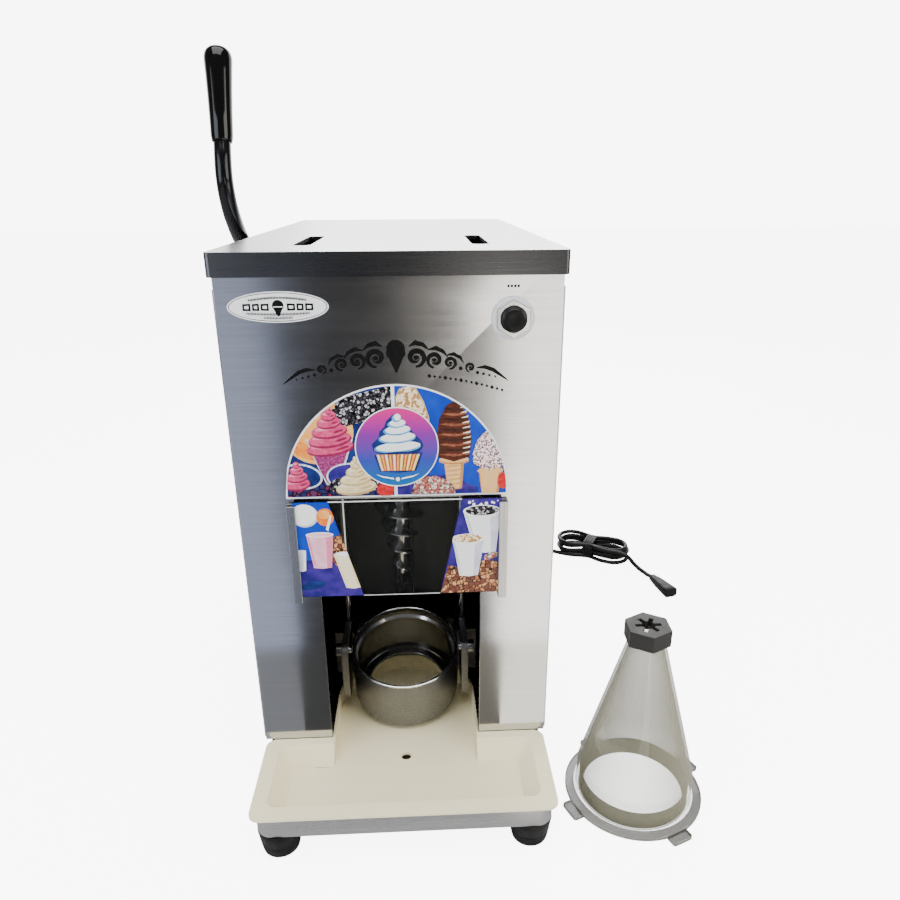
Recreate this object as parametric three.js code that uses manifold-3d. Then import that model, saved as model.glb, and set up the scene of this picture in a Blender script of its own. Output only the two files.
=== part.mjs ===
// Counter-top ice cream maker: a sheet-steel cabinet with an open bay, a power-driven auger, a cup
// holder that a side lever lifts round the auger, a drip tray and a loose serving cone beside it.
// Millimetres, +Z up, front towards -Y, standing surface at Z = 0. While the pieces are laid out,
// X = 0 is the cabinet's middle and Y = 0 its front face; the group moves them to the model's origin.
import * as THREE from 'three';
import { mergeVertices } from 'three/addons/utils/BufferGeometryUtils.js';
import Module from 'manifold-3d';

const wasm = await Module();
wasm.setup();

// ---------------------------------------------------------------- driving dimensions

const gap = 0.3; // between pieces that touch
const sheet = 2; // cabinet sheet steel

const cabinet = { halfWidth: 165, depth: 656, bottom: 61.8, top: 611 };
const sidePanelTop = 581.5;
const lid = { top: 615.8, height: 22.6, overhang: 4.3 };
const lidSlot = { inner: 82, outer: 100, front: 71, back: 213 };
const bay = { mouthHalfWidth: 87, mouthTop: 367.5, halfWidth: 100, depth: 176, ceiling: 461.5 };
const deck = { bottom: 548, top: 550.5, front: 40 };

const pan = { halfWidth: 159, front: -115, bottom: 31, top: 58.5 };
const tray = { halfWidth: 163, front: -121.5, top: 61.5, rimBottom: 58.8, wellFloor: 41.5, wall: 3 };
const trayWell = { halfWidth: 147.5, front: -104.5, back: -10, slope: 17 };
const tongue = { halfWidth: 86.7, endY: 76, drainY: -14, drainRadius: 6.25 };
const foot = { height: 30.7, topRadius: 20.5, soleRadius: 15, x: 136, frontY: -94, backY: 625 };

const guard = { halfWidth: 109, bottom: 255.5, top: 367.5, front: -5, back: -2.5 };
const rail = { inner: 106, outer: 115, groove: 109.3, bottom: 249.5, top: 363.5, front: -8 };
const start = { x: 116.5, z: 552.5, labelRadius: 21, nutRadius: 18.4, bootRadius: 12.5 };

const spindle = { y: 76, shaftRadius: 12, tipZ: 236.5, flightTopZ: 396, shaftTopZ: 590 };
const beltDrive = { motorY: 480, bottom: 556, top: 578, drivenRadius: 60, driveRadius: 24 };

const leverAxis = { y: 330, z: 531.5 };
const leverX = -186.5;
const leverRodRadius = 9.5;
const leverHub = { radius: 20, halfWidth: 8 };
const gripRadius = 15.2;
const gearModule = 4;
const sectorTeeth = 48; // of a full wheel
const pinionTeeth = 16;
const gearX = [-138, -126];
const pressureAngle = THREE.MathUtils.degToRad(25);
const liftPulleyRadius = 59;
const idler = { radius: 30, z: 102 };

const holder = { radius: 66, wall: 4, above: 6, below: 71, pinZ: 131.5, tilt: 15 };
const carriage = { armInner: 70, armOuter: 78, blockInner: 66, blockOuter: 92, back: 172 };
const guideRod = { x: 74, y: 135 };
const liftBarZ = [96, 116];

const conePlace = { x: 267.6, y: -35.3 };
const cone = { flangeRadius: 79, lugRadius: 90, skirtRadius: 66, neckRadius: 20.7, wall: 3 };
const cap = { bottom: 207, top: 226.3, socketTop: 216, circumradius: 26.4, turn: 5.2 };

const cordRadius = 3.7;
const cordExit = { x: 130, z: 100, bootLength: 34 };
const hank = { x: 354, y: 564.5, halfLength: 76, halfWidth: 34, height: 32, angle: -0.4943 };

// the origin: middle of the standing object without its cord
const originX = (conePlace.x + cone.lugRadius + leverX - gripRadius) / 2;
const originY = (cabinet.depth + tray.front) / 2;

// ---------------------------------------------------------------- solids and placing

function toManifold(geometry) {
  const bare = geometry.clone();
  bare.deleteAttribute('normal');
  bare.deleteAttribute('uv');
  const merged = mergeVertices(bare, 1e-4);
  const triVerts = Uint32Array.from(merged.index.array);
  const vertProperties = merged.attributes.position.array;
  return new wasm.Manifold(new wasm.Mesh({ numProp: 3, vertProperties, triVerts }));
}

function toGeometry(manifold) {
  const { vertProperties, triVerts } = manifold.getMesh();
  const geometry = new THREE.BufferGeometry();
  geometry.setAttribute('position', new THREE.BufferAttribute(vertProperties, 3));
  geometry.setIndex(new THREE.BufferAttribute(triVerts, 1));
  return geometry;
}

function join(...geometries) {
  return toGeometry(geometries.map(toManifold).reduce((whole, piece) => whole.add(piece)));
}

function cut(base, ...tools) {
  return toGeometry(tools.map(toManifold).reduce((rest, tool) => rest.subtract(tool), toManifold(base)));
}

function block(x0, x1, y0, y1, z0, z1) {
  const solid = new THREE.BoxGeometry(x1 - x0, y1 - y0, z1 - z0);
  return solid.translate((x0 + x1) / 2, (y0 + y1) / 2, (z0 + z1) / 2);
}

// extruded along Z, outline in X and Y
function upright(shape, z0, z1, curveSegments = 12) {
  const solid = new THREE.ExtrudeGeometry(shape, { depth: z1 - z0, bevelEnabled: false, curveSegments });
  return solid.translate(0, 0, z0);
}

// outline in X and Z, thickness along Y
function facing(shape, y0, y1, curveSegments = 12) {
  return upright(shape, 0, y1 - y0, curveSegments).rotateX(Math.PI / 2).translate(0, y1, 0);
}

// outline in Y and Z, thickness along X
const sideways = new THREE.Matrix4().set(0, 0, 1, 0, 1, 0, 0, 0, 0, 1, 0, 0, 0, 0, 0, 1);
function acrossX(shape, x0, x1, curveSegments = 12) {
  return upright(shape, x0, x1, curveSegments).applyMatrix4(sideways);
}

function rod(radius, z0, z1, x = 0, y = 0, sides = 18) {
  const solid = new THREE.CylinderGeometry(radius, radius, z1 - z0, sides).rotateX(Math.PI / 2);
  return solid.translate(x, y, (z0 + z1) / 2);
}

function rodAcross(radius, x0, x1, y, z, sides = 18) {
  return rod(radius, x0, x1, 0, 0, sides).applyMatrix4(sideways).translate(0, y, z);
}

function rodFacing(radius, y0, y1, x, z, sides = 18) {
  return new THREE.CylinderGeometry(radius, radius, y1 - y0, sides).translate(x, (y0 + y1) / 2, z);
}

// turned about Z from [radius, height] pairs, listed up the outside
function turned(profile, sides = 24) {
  const points = profile.map(([radius, height]) => new THREE.Vector2(radius, height));
  return new THREE.LatheGeometry(points, sides).rotateX(Math.PI / 2);
}

function closedTurned(profile, sides = 24) {
  return turned([...profile, profile[0]], sides);
}

function roundedRect(x0, x1, y0, y1, radius) {
  const shape = new THREE.Shape();
  shape.absarc(x1 - radius, y0 + radius, radius, -Math.PI / 2, 0);
  shape.absarc(x1 - radius, y1 - radius, radius, 0, Math.PI / 2);
  shape.absarc(x0 + radius, y1 - radius, radius, Math.PI / 2, Math.PI);
  shape.absarc(x0 + radius, y0 + radius, radius, Math.PI, Math.PI * 1.5);
  return shape;
}

function outline(points) {
  return new THREE.Shape(points.map(([x, y]) => new THREE.Vector2(x, y)));
}

// a well whose four walls lean in by `slope` from its top to its floor
function slopedWell(x0, x1, y0, y1, z0, z1, radius, slope) {
  const geometry = upright(roundedRect(x0, x1, y0, y1, radius), z0, z1, 4);
  const position = geometry.attributes.position;
  const middle = [(x0 + x1) / 2, (y0 + y1) / 2];
  const shrink = [1 - (2 * slope) / (x1 - x0), 1 - (2 * slope) / (y1 - y0)];
  for (let i = 0; i < position.count; i += 1) {
    if (position.getZ(i) < (z0 + z1) / 2) {
      position.setX(i, middle[0] + (position.getX(i) - middle[0]) * shrink[0]);
      position.setY(i, middle[1] + (position.getY(i) - middle[1]) * shrink[1]);
    }
  }
  return geometry;
}

// the two tangent points on each of two wheels, as start and end angles
function wrapAngles(first, second) {
  const heading = Math.atan2(second.y - first.y, second.x - first.x);
  const distance = Math.hypot(second.x - first.x, second.y - first.y);
  const spread = Math.acos((first.r - second.r) / distance);
  return [heading - spread, heading + spread];
}

function loopPath(path, first, second, offset) {
  const [low, high] = wrapAngles(first, second);
  path.absarc(second.x, second.y, second.r + offset, low, high);
  path.absarc(first.x, first.y, first.r + offset, high, low + 2 * Math.PI);
  return path;
}

// flat belt round two wheels, outline of the loop with its inside left open
function beltShape(first, second, halfThickness) {
  const shape = loopPath(new THREE.Shape(), first, second, halfThickness);
  shape.holes.push(loopPath(new THREE.Path(), first, second, -halfThickness));
  return shape;
}

// flanged wheel for a flat belt whose middle runs at `radius`
function beltWheel(radius, z0, z1, bore, sides = 24) {
  const flange = 2;
  const seat = radius - 2 - gap;
  return closedTurned([
    [bore, z0], [radius + 5, z0], [radius + 5, z0 + flange], [seat, z0 + flange],
    [seat, z1 - flange], [radius + 5, z1 - flange], [radius + 5, z1], [bore, z1],
  ], sides);
}

function tube(points, radius, sides, steps) {
  const corners = points.map(([x, y, z]) => new THREE.Vector3(x, y, z));
  const path = new THREE.CatmullRomCurve3(corners, false, 'centripetal');
  const section = new THREE.Shape();
  for (let i = 0; i < sides; i += 1) {
    const angle = (2 * Math.PI * i) / sides;
    section[i ? 'lineTo' : 'moveTo'](radius * Math.cos(angle), radius * Math.sin(angle));
  }
  return new THREE.ExtrudeGeometry(section, { extrudePath: path, steps, bevelEnabled: false });
}

// ---------------------------------------------------------------- gear teeth

// involute wheel outline in Y and Z; teeth are centred at firstAngle and every pitch after it
function toothedArc(teeth, firstAngle, count, backlash = 0.5) {
  const pitchRadius = (gearModule * teeth) / 2;
  const baseRadius = pitchRadius * Math.cos(pressureAngle);
  const rootRadius = pitchRadius - 1.15 * gearModule;
  const tipRadius = pitchRadius + 0.85 * gearModule;
  const involute = (angle) => Math.tan(angle) - angle;
  const halfTooth = Math.PI / (2 * teeth) - backlash / (2 * pitchRadius);
  const flank = [0, 0.33, 0.67, 1].map((share) => {
    const radius = THREE.MathUtils.lerp(Math.max(baseRadius, rootRadius), tipRadius, share);
    return [radius, halfTooth + involute(pressureAngle) - involute(Math.acos(baseRadius / radius))];
  });
  flank.unshift([rootRadius, flank[0][1]]);
  const points = [];
  for (let tooth = 0; tooth < count; tooth += 1) {
    const centre = firstAngle + (2 * Math.PI * tooth) / teeth;
    flank.forEach(([radius, half]) => points.push([radius, centre - half]));
    [...flank].reverse().forEach(([radius, half]) => points.push([radius, centre + half]));
  }
  return points.map(([radius, angle]) => [radius * Math.cos(angle), radius * Math.sin(angle)]);
}

// ---------------------------------------------------------------- finishes

const finishes = {
  brushedSteel: { color: 0xc4c6c8, roughness: 0.34, metalness: 1 },
  darkSteel: { color: 0x55585a, roughness: 0.38, metalness: 1 },
  polishedSteel: { color: 0xd6d8da, roughness: 0.12, metalness: 1 },
  castAluminium: { color: 0x9c9ea0, roughness: 0.3, metalness: 1 },
  galvanised: { color: 0x9aa0a4, roughness: 0.5, metalness: 0.9 },
  blackPaint: { color: 0x0c0c0d, roughness: 0.35, metalness: 0 },
  blackRubber: { color: 0x101011, roughness: 0.75, metalness: 0 },
  blackPlastic: { color: 0x141416, roughness: 0.3, metalness: 0 },
  creamPlastic: { color: 0xeae4cc, roughness: 0.35, metalness: 0 },
  clearPlastic: { color: 0x6f7374, roughness: 0.08, metalness: 0, transparent: true, opacity: 0.45 },
  whiteLabel: { color: 0xf1f1ee, roughness: 0.5, metalness: 0 },
};

const machine = new THREE.Group();
machine.position.set(-originX, -originY, 0);

function add(name, geometry, finish, parent = machine) {
  const mesh = new THREE.Mesh(geometry, new THREE.MeshStandardMaterial(finishes[finish]));
  mesh.name = name;
  parent.add(mesh);
}

// left is -1, right is +1
const sides = { left: -1, right: 1 };

// a block given for the right-hand side, mirrored where the side asks for it
function sideBlock(side, x0, x1, y0, y1, z0, z1) {
  return side > 0 ? block(x0, x1, y0, y1, z0, z1) : block(-x1, -x0, y0, y1, z0, z1);
}

// ---------------------------------------------------------------- cabinet

function frontPanel() {
  const { halfWidth, bottom, top } = cabinet;
  const shape = outline([
    [-halfWidth, bottom], [-bay.mouthHalfWidth, bottom], [-bay.mouthHalfWidth, bay.mouthTop],
    [bay.mouthHalfWidth, bay.mouthTop], [bay.mouthHalfWidth, bottom], [halfWidth, bottom],
    [halfWidth, top], [-halfWidth, top],
  ]);
  const hole = new THREE.Path();
  hole.absarc(start.x, start.z, 11.3, 0, 2 * Math.PI);
  shape.holes.push(hole);
  return facing(shape, 0, sheet);
}

// hole for the lever shaft's bush, through the left-hand sheets only
function shaftHole(radius) {
  return rodAcross(radius, -cabinet.halfWidth - 10, -cabinet.halfWidth + 10, leverAxis.y, leverAxis.z);
}

function rearPanel() {
  const back = cabinet.depth;
  const plate = block(-164.7, 164.7, back - sheet, back, cabinet.bottom, cabinet.top);
  const louvres = [];
  for (let row = 0; row < 8; row += 1) {
    const z = 400 + 16 * row;
    louvres.push(block(-70, 70, back - 10, back + 10, z, z + 5));
  }
  return cut(plate, ...louvres, rodFacing(6, back - 10, back + 10, cordExit.x, cordExit.z));
}

function lidShell() {
  const x = cabinet.halfWidth + lid.overhang;
  const front = -lid.overhang;
  const back = cabinet.depth + lid.overhang;
  const underside = lid.top - sheet - gap;
  const shell = upright(roundedRect(-x, x, front, back, 5), lid.top - lid.height, lid.top, 3);
  const inside = upright(roundedRect(-x + sheet, x - sheet, front + sheet, back - sheet, 3), 0, underside, 3);
  const slots = Object.values(sides).map((side) => {
    const ends = [side * lidSlot.inner, side * lidSlot.outer].sort((a, b) => a - b);
    return upright(roundedRect(...ends, lidSlot.front, lidSlot.back, 7), 600, 640, 4);
  });
  return cut(shell, inside, ...slots);
}

function addCabinet() {
  add('front_panel', frontPanel(), 'brushedSteel');
  for (const [label, side] of Object.entries(sides)) {
    const frameSide = sideBlock(side, 162.4, 164.7, sheet + gap, 653.7, cabinet.bottom, cabinet.top);
    const sidePanel = sideBlock(side, 165.3, 167.3, 5, cabinet.depth - 5, cabinet.bottom, sidePanelTop);
    const drilled = side < 0;
    add(`${label}_frame_side`, drilled ? cut(frameSide, shaftHole(14.6)) : frameSide, 'galvanised');
    add(`${label}_side_panel`, drilled ? cut(sidePanel, shaftHole(14.6)) : sidePanel, 'brushedSteel');
    const wallX = [bay.halfWidth, bay.halfWidth + sheet];
    const wall = sideBlock(side, ...wallX, sheet + gap, bay.depth, cabinet.bottom, bay.ceiling - gap);
    add(`bay_${label}_wall`, wall, 'darkSteel');
  }
  add('rear_panel', rearPanel(), 'brushedSteel');
  add('lid', lidShell(), 'brushedSteel');

  const bayX = bay.halfWidth + sheet;
  const backWall = block(-bayX, bayX, bay.depth + gap, bay.depth + gap + sheet, cabinet.bottom, 461.2);
  const liftSlot = block(-10, 10, bay.depth - 5, bay.depth + 5, 90, 388);
  add('bay_back_wall', cut(backWall, liftSlot), 'darkSteel');
  const ceiling = block(-bayX, bayX, sheet + gap, bay.depth + gap + sheet, bay.ceiling, bay.ceiling + sheet);
  add('bay_ceiling', cut(ceiling, rod(20, 450, 470, 0, spindle.y)), 'darkSteel');

  const deckPlate = block(-162.1, 162.1, deck.front, 653.4, deck.bottom, deck.top);
  const shaftHoles = [rod(12.6, 540, 560, 0, spindle.y), rod(9, 540, 560, 0, beltDrive.motorY)];
  add('top_deck', cut(deckPlate, ...shaftHoles), 'galvanised');
  add('base_plate', block(-163, 163, 166, 653.7, pan.top + gap, tray.top), 'galvanised');
}

// ---------------------------------------------------------------- base, feet and drip tray

function basePan() {
  const back = cabinet.depth - 2;
  const outerPlan = roundedRect(-pan.halfWidth, pan.halfWidth, pan.front, back, 18);
  const outer = upright(outerPlan, pan.bottom, pan.top, 6);
  const innerX = pan.halfWidth - sheet;
  const innerPlan = roundedRect(-innerX, innerX, pan.front + sheet, back - sheet, 16);
  const inner = upright(innerPlan, pan.bottom + sheet, 90, 6);
  return cut(outer, inner);
}

function tonguePlan(halfWidth, frontY) {
  const shape = new THREE.Shape();
  shape.moveTo(-halfWidth, frontY);
  shape.lineTo(halfWidth, frontY);
  shape.absarc(0, tongue.endY, halfWidth, 0, Math.PI);
  return shape;
}

function dripTray() {
  const { wall, top, wellFloor } = tray;
  const { halfWidth: wellX, front, back, slope } = trayWell;
  const rimPlan = roundedRect(-tray.halfWidth, tray.halfWidth, tray.front, -gap, 12);
  const rim = upright(rimPlan, tray.rimBottom, top, 6);
  const tubX = wellX + wall;
  const tub = slopedWell(-tubX, tubX, front - wall, back + wall, wellFloor - wall, 60, 12, slope);
  const tongueBody = upright(tonguePlan(tongue.halfWidth, -30), wellFloor - wall, top, 14);
  const well = slopedWell(-wellX, wellX, front, back, wellFloor, top + 1, 10, slope);
  const channel = upright(tonguePlan(tongue.halfWidth - wall, -40), wellFloor, top + 1, 14);
  const drain = rod(tongue.drainRadius, 30, 60, 0, tongue.drainY);
  return cut(join(rim, tub, tongueBody), well, channel, drain);
}

function addBase() {
  add('base_pan', basePan(), 'brushedSteel');
  add('drip_tray', dripTray(), 'creamPlastic');
  const profile = [[0, 0], [foot.soleRadius - 3, 0], [foot.soleRadius, 3], [foot.topRadius, foot.height - 4],
    [foot.topRadius, foot.height], [0, foot.height]];
  for (const [label, side] of Object.entries(sides)) {
    for (const [end, y] of [['front', foot.frontY], ['rear', foot.backY]]) {
      add(`${end}_${label}_foot`, turned(profile, 20).translate(side * foot.x, y, 0), 'blackRubber');
    }
  }
}

// ---------------------------------------------------------------- splash guard and start button

function addGuard() {
  const { halfWidth, front, back, bottom, top } = guard;
  add('splash_guard', block(-halfWidth, halfWidth, front, back, bottom, top), 'clearPlastic');
  for (const [label, side] of Object.entries(sides)) {
    const body = sideBlock(side, rail.inner, rail.outer, rail.front, -gap, rail.bottom, rail.top);
    const grooveBottom = guard.bottom - gap - 0.2;
    const groove = sideBlock(side, rail.inner - 5, rail.groove, front - gap, 5, grooveBottom, rail.top + 5);
    add(`${label}_rail`, cut(body, groove), 'brushedSteel');
  }
}

function addStartButton() {
  const { x, z } = start;
  add('switch_plate', cut(rodFacing(start.labelRadius, -1.2, -gap, x, z, 40), rodFacing(11.3, -5, 5, x, z)),
    'whiteLabel');
  const nut = rodFacing(start.nutRadius, -6.5, -1.5, x, z, 6);
  add('switch_nut', cut(nut, rodFacing(start.bootRadius + gap, -10, 5, x, z)), 'polishedSteel');
  const boot = rodFacing(start.bootRadius, -14, -5.5, x, z, 32);
  add('start_button', join(boot, rodFacing(7, -6, 0, x, z)), 'blackRubber');
  const body = rodFacing(11, -1.2, 22, x, z);
  const pocket = rodFacing(7.6, -5, 4.5, x, z);
  const terminals = block(x - 12, x + 12, 12, 34, z - 12, z + 12);
  add('switch_body', cut(join(body, terminals), pocket), 'blackPlastic');
}

// ---------------------------------------------------------------- auger and its drive

function augerSolid() {
  const { tipZ, flightTopZ, shaftTopZ, shaftRadius } = spindle;
  const length = flightTopZ - tipZ;
  const core = turned([[0, tipZ], [4, tipZ + 4], [14, flightTopZ - 30], [shaftRadius + 4, flightTopZ - 8],
    [shaftRadius, flightTopZ], [shaftRadius, shaftTopZ], [0, shaftTopZ]], 18);
  const turns = 6;
  const flight = new THREE.BoxGeometry(1, 1, 1, turns * 14, 1, 1);
  const position = flight.attributes.position;
  for (let i = 0; i < position.count; i += 1) {
    const along = position.getX(i) + 0.5;
    const rise = 6 + along * (length - 12);
    const outward = position.getY(i) > 0;
    const radius = outward ? 7 + 0.25 * rise : 2.5 + 0.05 * rise;
    const thickness = outward ? 2.4 : 5;
    const angle = -2 * Math.PI * turns * along;
    const height = tipZ + rise + thickness * position.getZ(i);
    position.setXYZ(i, radius * Math.cos(angle), radius * Math.sin(angle), height);
  }
  return join(core, flight);
}

function addAugerDrive() {
  const { bottom, top, drivenRadius, driveRadius, motorY } = beltDrive;
  add('auger', augerSolid().translate(0, spindle.y, 0), 'castAluminium');
  const housing = closedTurned([
    [13.3, 463.8], [46, 463.8], [46, 468], [32, 472], [32, 547.7], [13.3, 547.7],
  ]);
  add('spindle_housing', housing.translate(0, spindle.y, 0), 'castAluminium');
  const drivenPulley = beltWheel(drivenRadius, bottom, top, 12.3);
  add('driven_pulley', drivenPulley.translate(0, spindle.y, 0), 'castAluminium');
  const driven = { x: 0, y: spindle.y, r: drivenRadius };
  const drive = { x: 0, y: motorY, r: driveRadius };
  add('drive_belt', upright(beltShape(driven, drive, 2), bottom + 4, top - 4, 10), 'blackRubber');
  const wheel = beltWheel(driveRadius, bottom, top, 7);
  add('drive_pulley', join(wheel, rod(8, 548, 582)).translate(0, motorY, 0), 'castAluminium');
  const motor = turned([[0, 398], [50, 398], [58, 406], [58, 536], [52, 542], [52, 547.7], [0, 547.7]], 24);
  add('motor', motor.translate(0, motorY, 0), 'blackPaint');
}

// ---------------------------------------------------------------- lever, gears and lift belt

const liftAxis = { y: leverAxis.y, z: leverAxis.z - (gearModule * (sectorTeeth + pinionTeeth)) / 2 };
const idlerAxis = { y: liftAxis.y - liftPulleyRadius + idler.radius, z: idler.z };

function addLever() {
  const grip = turned([
    [0, 0], [11, 0], [11.8, 2], [12.6, 30], [14.3, 70], [gripRadius, 86], [14, 93], [10, 97.5], [4, 99],
    [0, 99],
  ], 20);
  const socket = rod(leverRodRadius + gap, -5, 24);
  const lean = Math.atan2(24.7, 95);
  add('lever_grip', cut(grip, socket).rotateX(-lean).translate(leverX, 194.9, 717), 'blackPlastic');
  const rodPath = [[314.6, 545.3], [281, 575], [245, 607], [217, 628], [196, 651], [186.4, 678], [188.6, 697],
    [195.5, 719.5], [200.3, 738]];
  add('lever_rod', tube(rodPath.map(([y, z]) => [leverX, y, z]), leverRodRadius, 10, 18), 'blackPaint');
  const hubX = [leverX - leverHub.halfWidth, leverX + leverHub.halfWidth];
  const hub = rodAcross(leverHub.radius, ...hubX, leverAxis.y, leverAxis.z);
  add('lever_hub', cut(hub, rodAcross(10.3, -210, -170, leverAxis.y, leverAxis.z)), 'blackPaint');
  add('lever_shaft', rodAcross(10, hubX[0] - 2, -108, leverAxis.y, leverAxis.z), 'polishedSteel');
  const bush = join(rodAcross(16, -170.5, -167.6, leverAxis.y, leverAxis.z),
    rodAcross(14, -168, -158, leverAxis.y, leverAxis.z));
  add('shaft_bush', cut(bush, rodAcross(10.3, -210, -150, leverAxis.y, leverAxis.z)), 'castAluminium');
}

function sectorGear() {
  const pitch = (2 * Math.PI) / sectorTeeth;
  const teeth = toothedArc(sectorTeeth, 1.5 * Math.PI - 12 * pitch, 14);
  const hubArc = [1.6, 1.75, 1.9, 0.1, 0.4, 0.7, 0.9].map((halfTurns) => halfTurns * Math.PI);
  const hub = hubArc.map((angle) => [12 * Math.cos(angle), 12 * Math.sin(angle)]);
  const web = acrossX(outline([...teeth, ...hub]), ...gearX);
  const boss = rodAcross(15, gearX[0] - 4, gearX[1] + 4, 0, 0);
  return cut(join(web, boss), rodAcross(10.3, -160, -100, 0, 0)).translate(0, leverAxis.y, leverAxis.z);
}

function addLiftDrive() {
  add('sector_gear', sectorGear(), 'castAluminium');
  const pinionOutline = outline(toothedArc(pinionTeeth, Math.PI / 2 + Math.PI / pinionTeeth, pinionTeeth));
  const pinion = acrossX(pinionOutline, gearX[0] - 1, gearX[1] + 1);
  const liftShaft = join(pinion, rodAcross(8, -148, 14, 0, 0));
  add('lift_shaft', liftShaft.translate(0, liftAxis.y, liftAxis.z), 'polishedSteel');
  const wheel = beltWheel(liftPulleyRadius, -10, 10, 8.3).applyMatrix4(sideways);
  add('lift_pulley', wheel.translate(0, liftAxis.y, liftAxis.z), 'castAluminium');
  const idlerWheel = beltWheel(idler.radius, -10, 10, 5).applyMatrix4(sideways);
  add('idler_pulley', join(idlerWheel, rodAcross(6, -18, 18, 0, 0)).translate(0, idlerAxis.y, idlerAxis.z),
    'castAluminium');
  const upper = { x: liftAxis.y, y: liftAxis.z, r: liftPulleyRadius };
  const lower = { x: idlerAxis.y, y: idlerAxis.z, r: idler.radius };
  add('lift_belt', acrossX(beltShape(upper, lower, 2), -7, 7, 10), 'blackRubber');
  const bracket = block(-119, -115, 290, 370, 375, 547.7);
  const leverBore = rodAcross(10.4, -130, -100, leverAxis.y, leverAxis.z);
  const liftBore = rodAcross(8.4, -130, -100, liftAxis.y, liftAxis.z);
  add('drive_bracket', cut(bracket, leverBore, liftBore), 'galvanised');
}

// ---------------------------------------------------------------- carriage and cup holder

function carriageArm(side) {
  const { armInner, armOuter, blockInner, blockOuter, back } = carriage;
  const plate = acrossX(roundedRect(62, 130, 66.5, 142, 9), armInner, armOuter, 6);
  const slideBlock = block(blockInner, blockOuter, 120, back, 66.5, 127);
  const pinHole = rodAcross(5.4, 60, 90, spindle.y, holder.pinZ);
  const guideHole = rod(6.4, 50, 150, guideRod.x, guideRod.y);
  const arm = cut(join(plate, slideBlock), pinHole, guideHole);
  return side > 0 ? arm : mirrored(arm);
}

// mirror image across the cabinet's middle, with its faces turned outwards again
function mirrored(geometry) {
  return toGeometry(toManifold(geometry).mirror([1, 0, 0]));
}

function addCarriage() {
  const holderGroup = new THREE.Group();
  holderGroup.position.set(0, spindle.y, holder.pinZ);
  holderGroup.rotation.x = THREE.MathUtils.degToRad(holder.tilt);
  machine.add(holderGroup);
  const { radius, wall, above, below } = holder;
  const ring = closedTurned([
    [radius - wall - 3, -below], [radius - 3, -below], [radius, 3 - below], [radius, above - 1],
    [radius - 1, above], [radius - wall + 1, above], [radius - wall, above - 1], [radius - wall, 12 - below],
    [radius - wall - 3, 8 - below],
  ], 40);
  add('cup_ring', ring, 'polishedSteel', holderGroup);
  for (const [label, side] of Object.entries(sides)) {
    add(`${label}_carriage_arm`, carriageArm(side), 'castAluminium');
    add(`${label}_guide_rod`, rod(6, 62.2, 461.2, side * guideRod.x, guideRod.y), 'polishedSteel');
    const pin = join(rodAcross(5, radius + 0.4, 80, 0, 0), rodAcross(8, 78.4, 86, 0, 0));
    add(`${label}_pivot_pin`, side > 0 ? pin : mirrored(pin), 'polishedSteel', holderGroup);
  }
  add('carriage_crossbar', block(-65.7, 65.7, 163, carriage.back, ...liftBarZ), 'castAluminium');
  const beltFace = liftAxis.y - liftPulleyRadius - 2 - gap;
  add('lift_arm', block(-8, 8, carriage.back + gap, beltFace, ...liftBarZ), 'castAluminium');
}

// ---------------------------------------------------------------- serving cone

function addCone() {
  const group = new THREE.Group();
  group.position.set(conePlace.x, conePlace.y, 0);
  machine.add(group);
  const { flangeRadius, lugRadius, skirtRadius, neckRadius, wall } = cone;
  const skirtBore = skirtRadius - wall - 0.5;
  const neckTop = cap.socketTop - gap;
  const shell = closedTurned([
    [skirtBore, 0], [flangeRadius, 0], [flangeRadius, 5], [skirtRadius, 6], [skirtRadius, 38],
    [neckRadius, 205], [neckRadius, neckTop], [neckRadius - wall, neckTop], [neckRadius - wall, 205],
    [skirtBore, 38],
  ], 40);
  const lugAt = (angle) => block(flangeRadius - 8, lugRadius, -13, 13, 0, 5).rotateZ(angle);
  const lugs = [0, 1, 2, 3].map((quarter) => lugAt(0.4 + (quarter * Math.PI) / 2));
  add('hopper_cone', join(shell, ...lugs), 'clearPlastic', group);
  const sealRadius = skirtBore - gap;
  const sealProfile = [[sealRadius - 5, 1], [sealRadius, 1], [sealRadius, 21], [sealRadius - 3, 21]];
  add('cone_seal', closedTurned(sealProfile, 32), 'blackRubber', group);
  const hexagon = rod(cap.circumradius, cap.bottom, cap.top, 0, 0, 6).rotateZ(cap.turn);
  const socket = rod(neckRadius + gap, 190, cap.socketTop, 0, 0, 24);
  const slots = [0, 1, 2].map((turn) => block(-14, 14, -2.2, 2.2, 200, 240).rotateZ((turn * Math.PI) / 3));
  add('nozzle_cap', cut(hexagon, socket, rod(7, 200, 240), ...slots), 'darkSteel', group);
}

// ---------------------------------------------------------------- mains cord

const leadRoute = [[130, 690.3, 100], [130, 703, 99], [133, 716, 88], [138, 724, 65], [146, 728, 38],
  [160, 727, 14], [180, 720, 4.8], [205, 705, 4.2], [228, 683, 4.2], [241, 655, 4.2], [245, 628, 4.2],
  [251, 603, 4.2], [262, 585, 4.2], [282.5, 569.2, 4.2]];
const tailRoute = [[396.5, 507.8, 27.2], [406, 502.3, 23.5], [416, 495.5, 13], [425, 487, 6],
  [431.5, 476, 4.2], [435, 464.5, 5.2], [437.4, 453, 8.5]];

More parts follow.
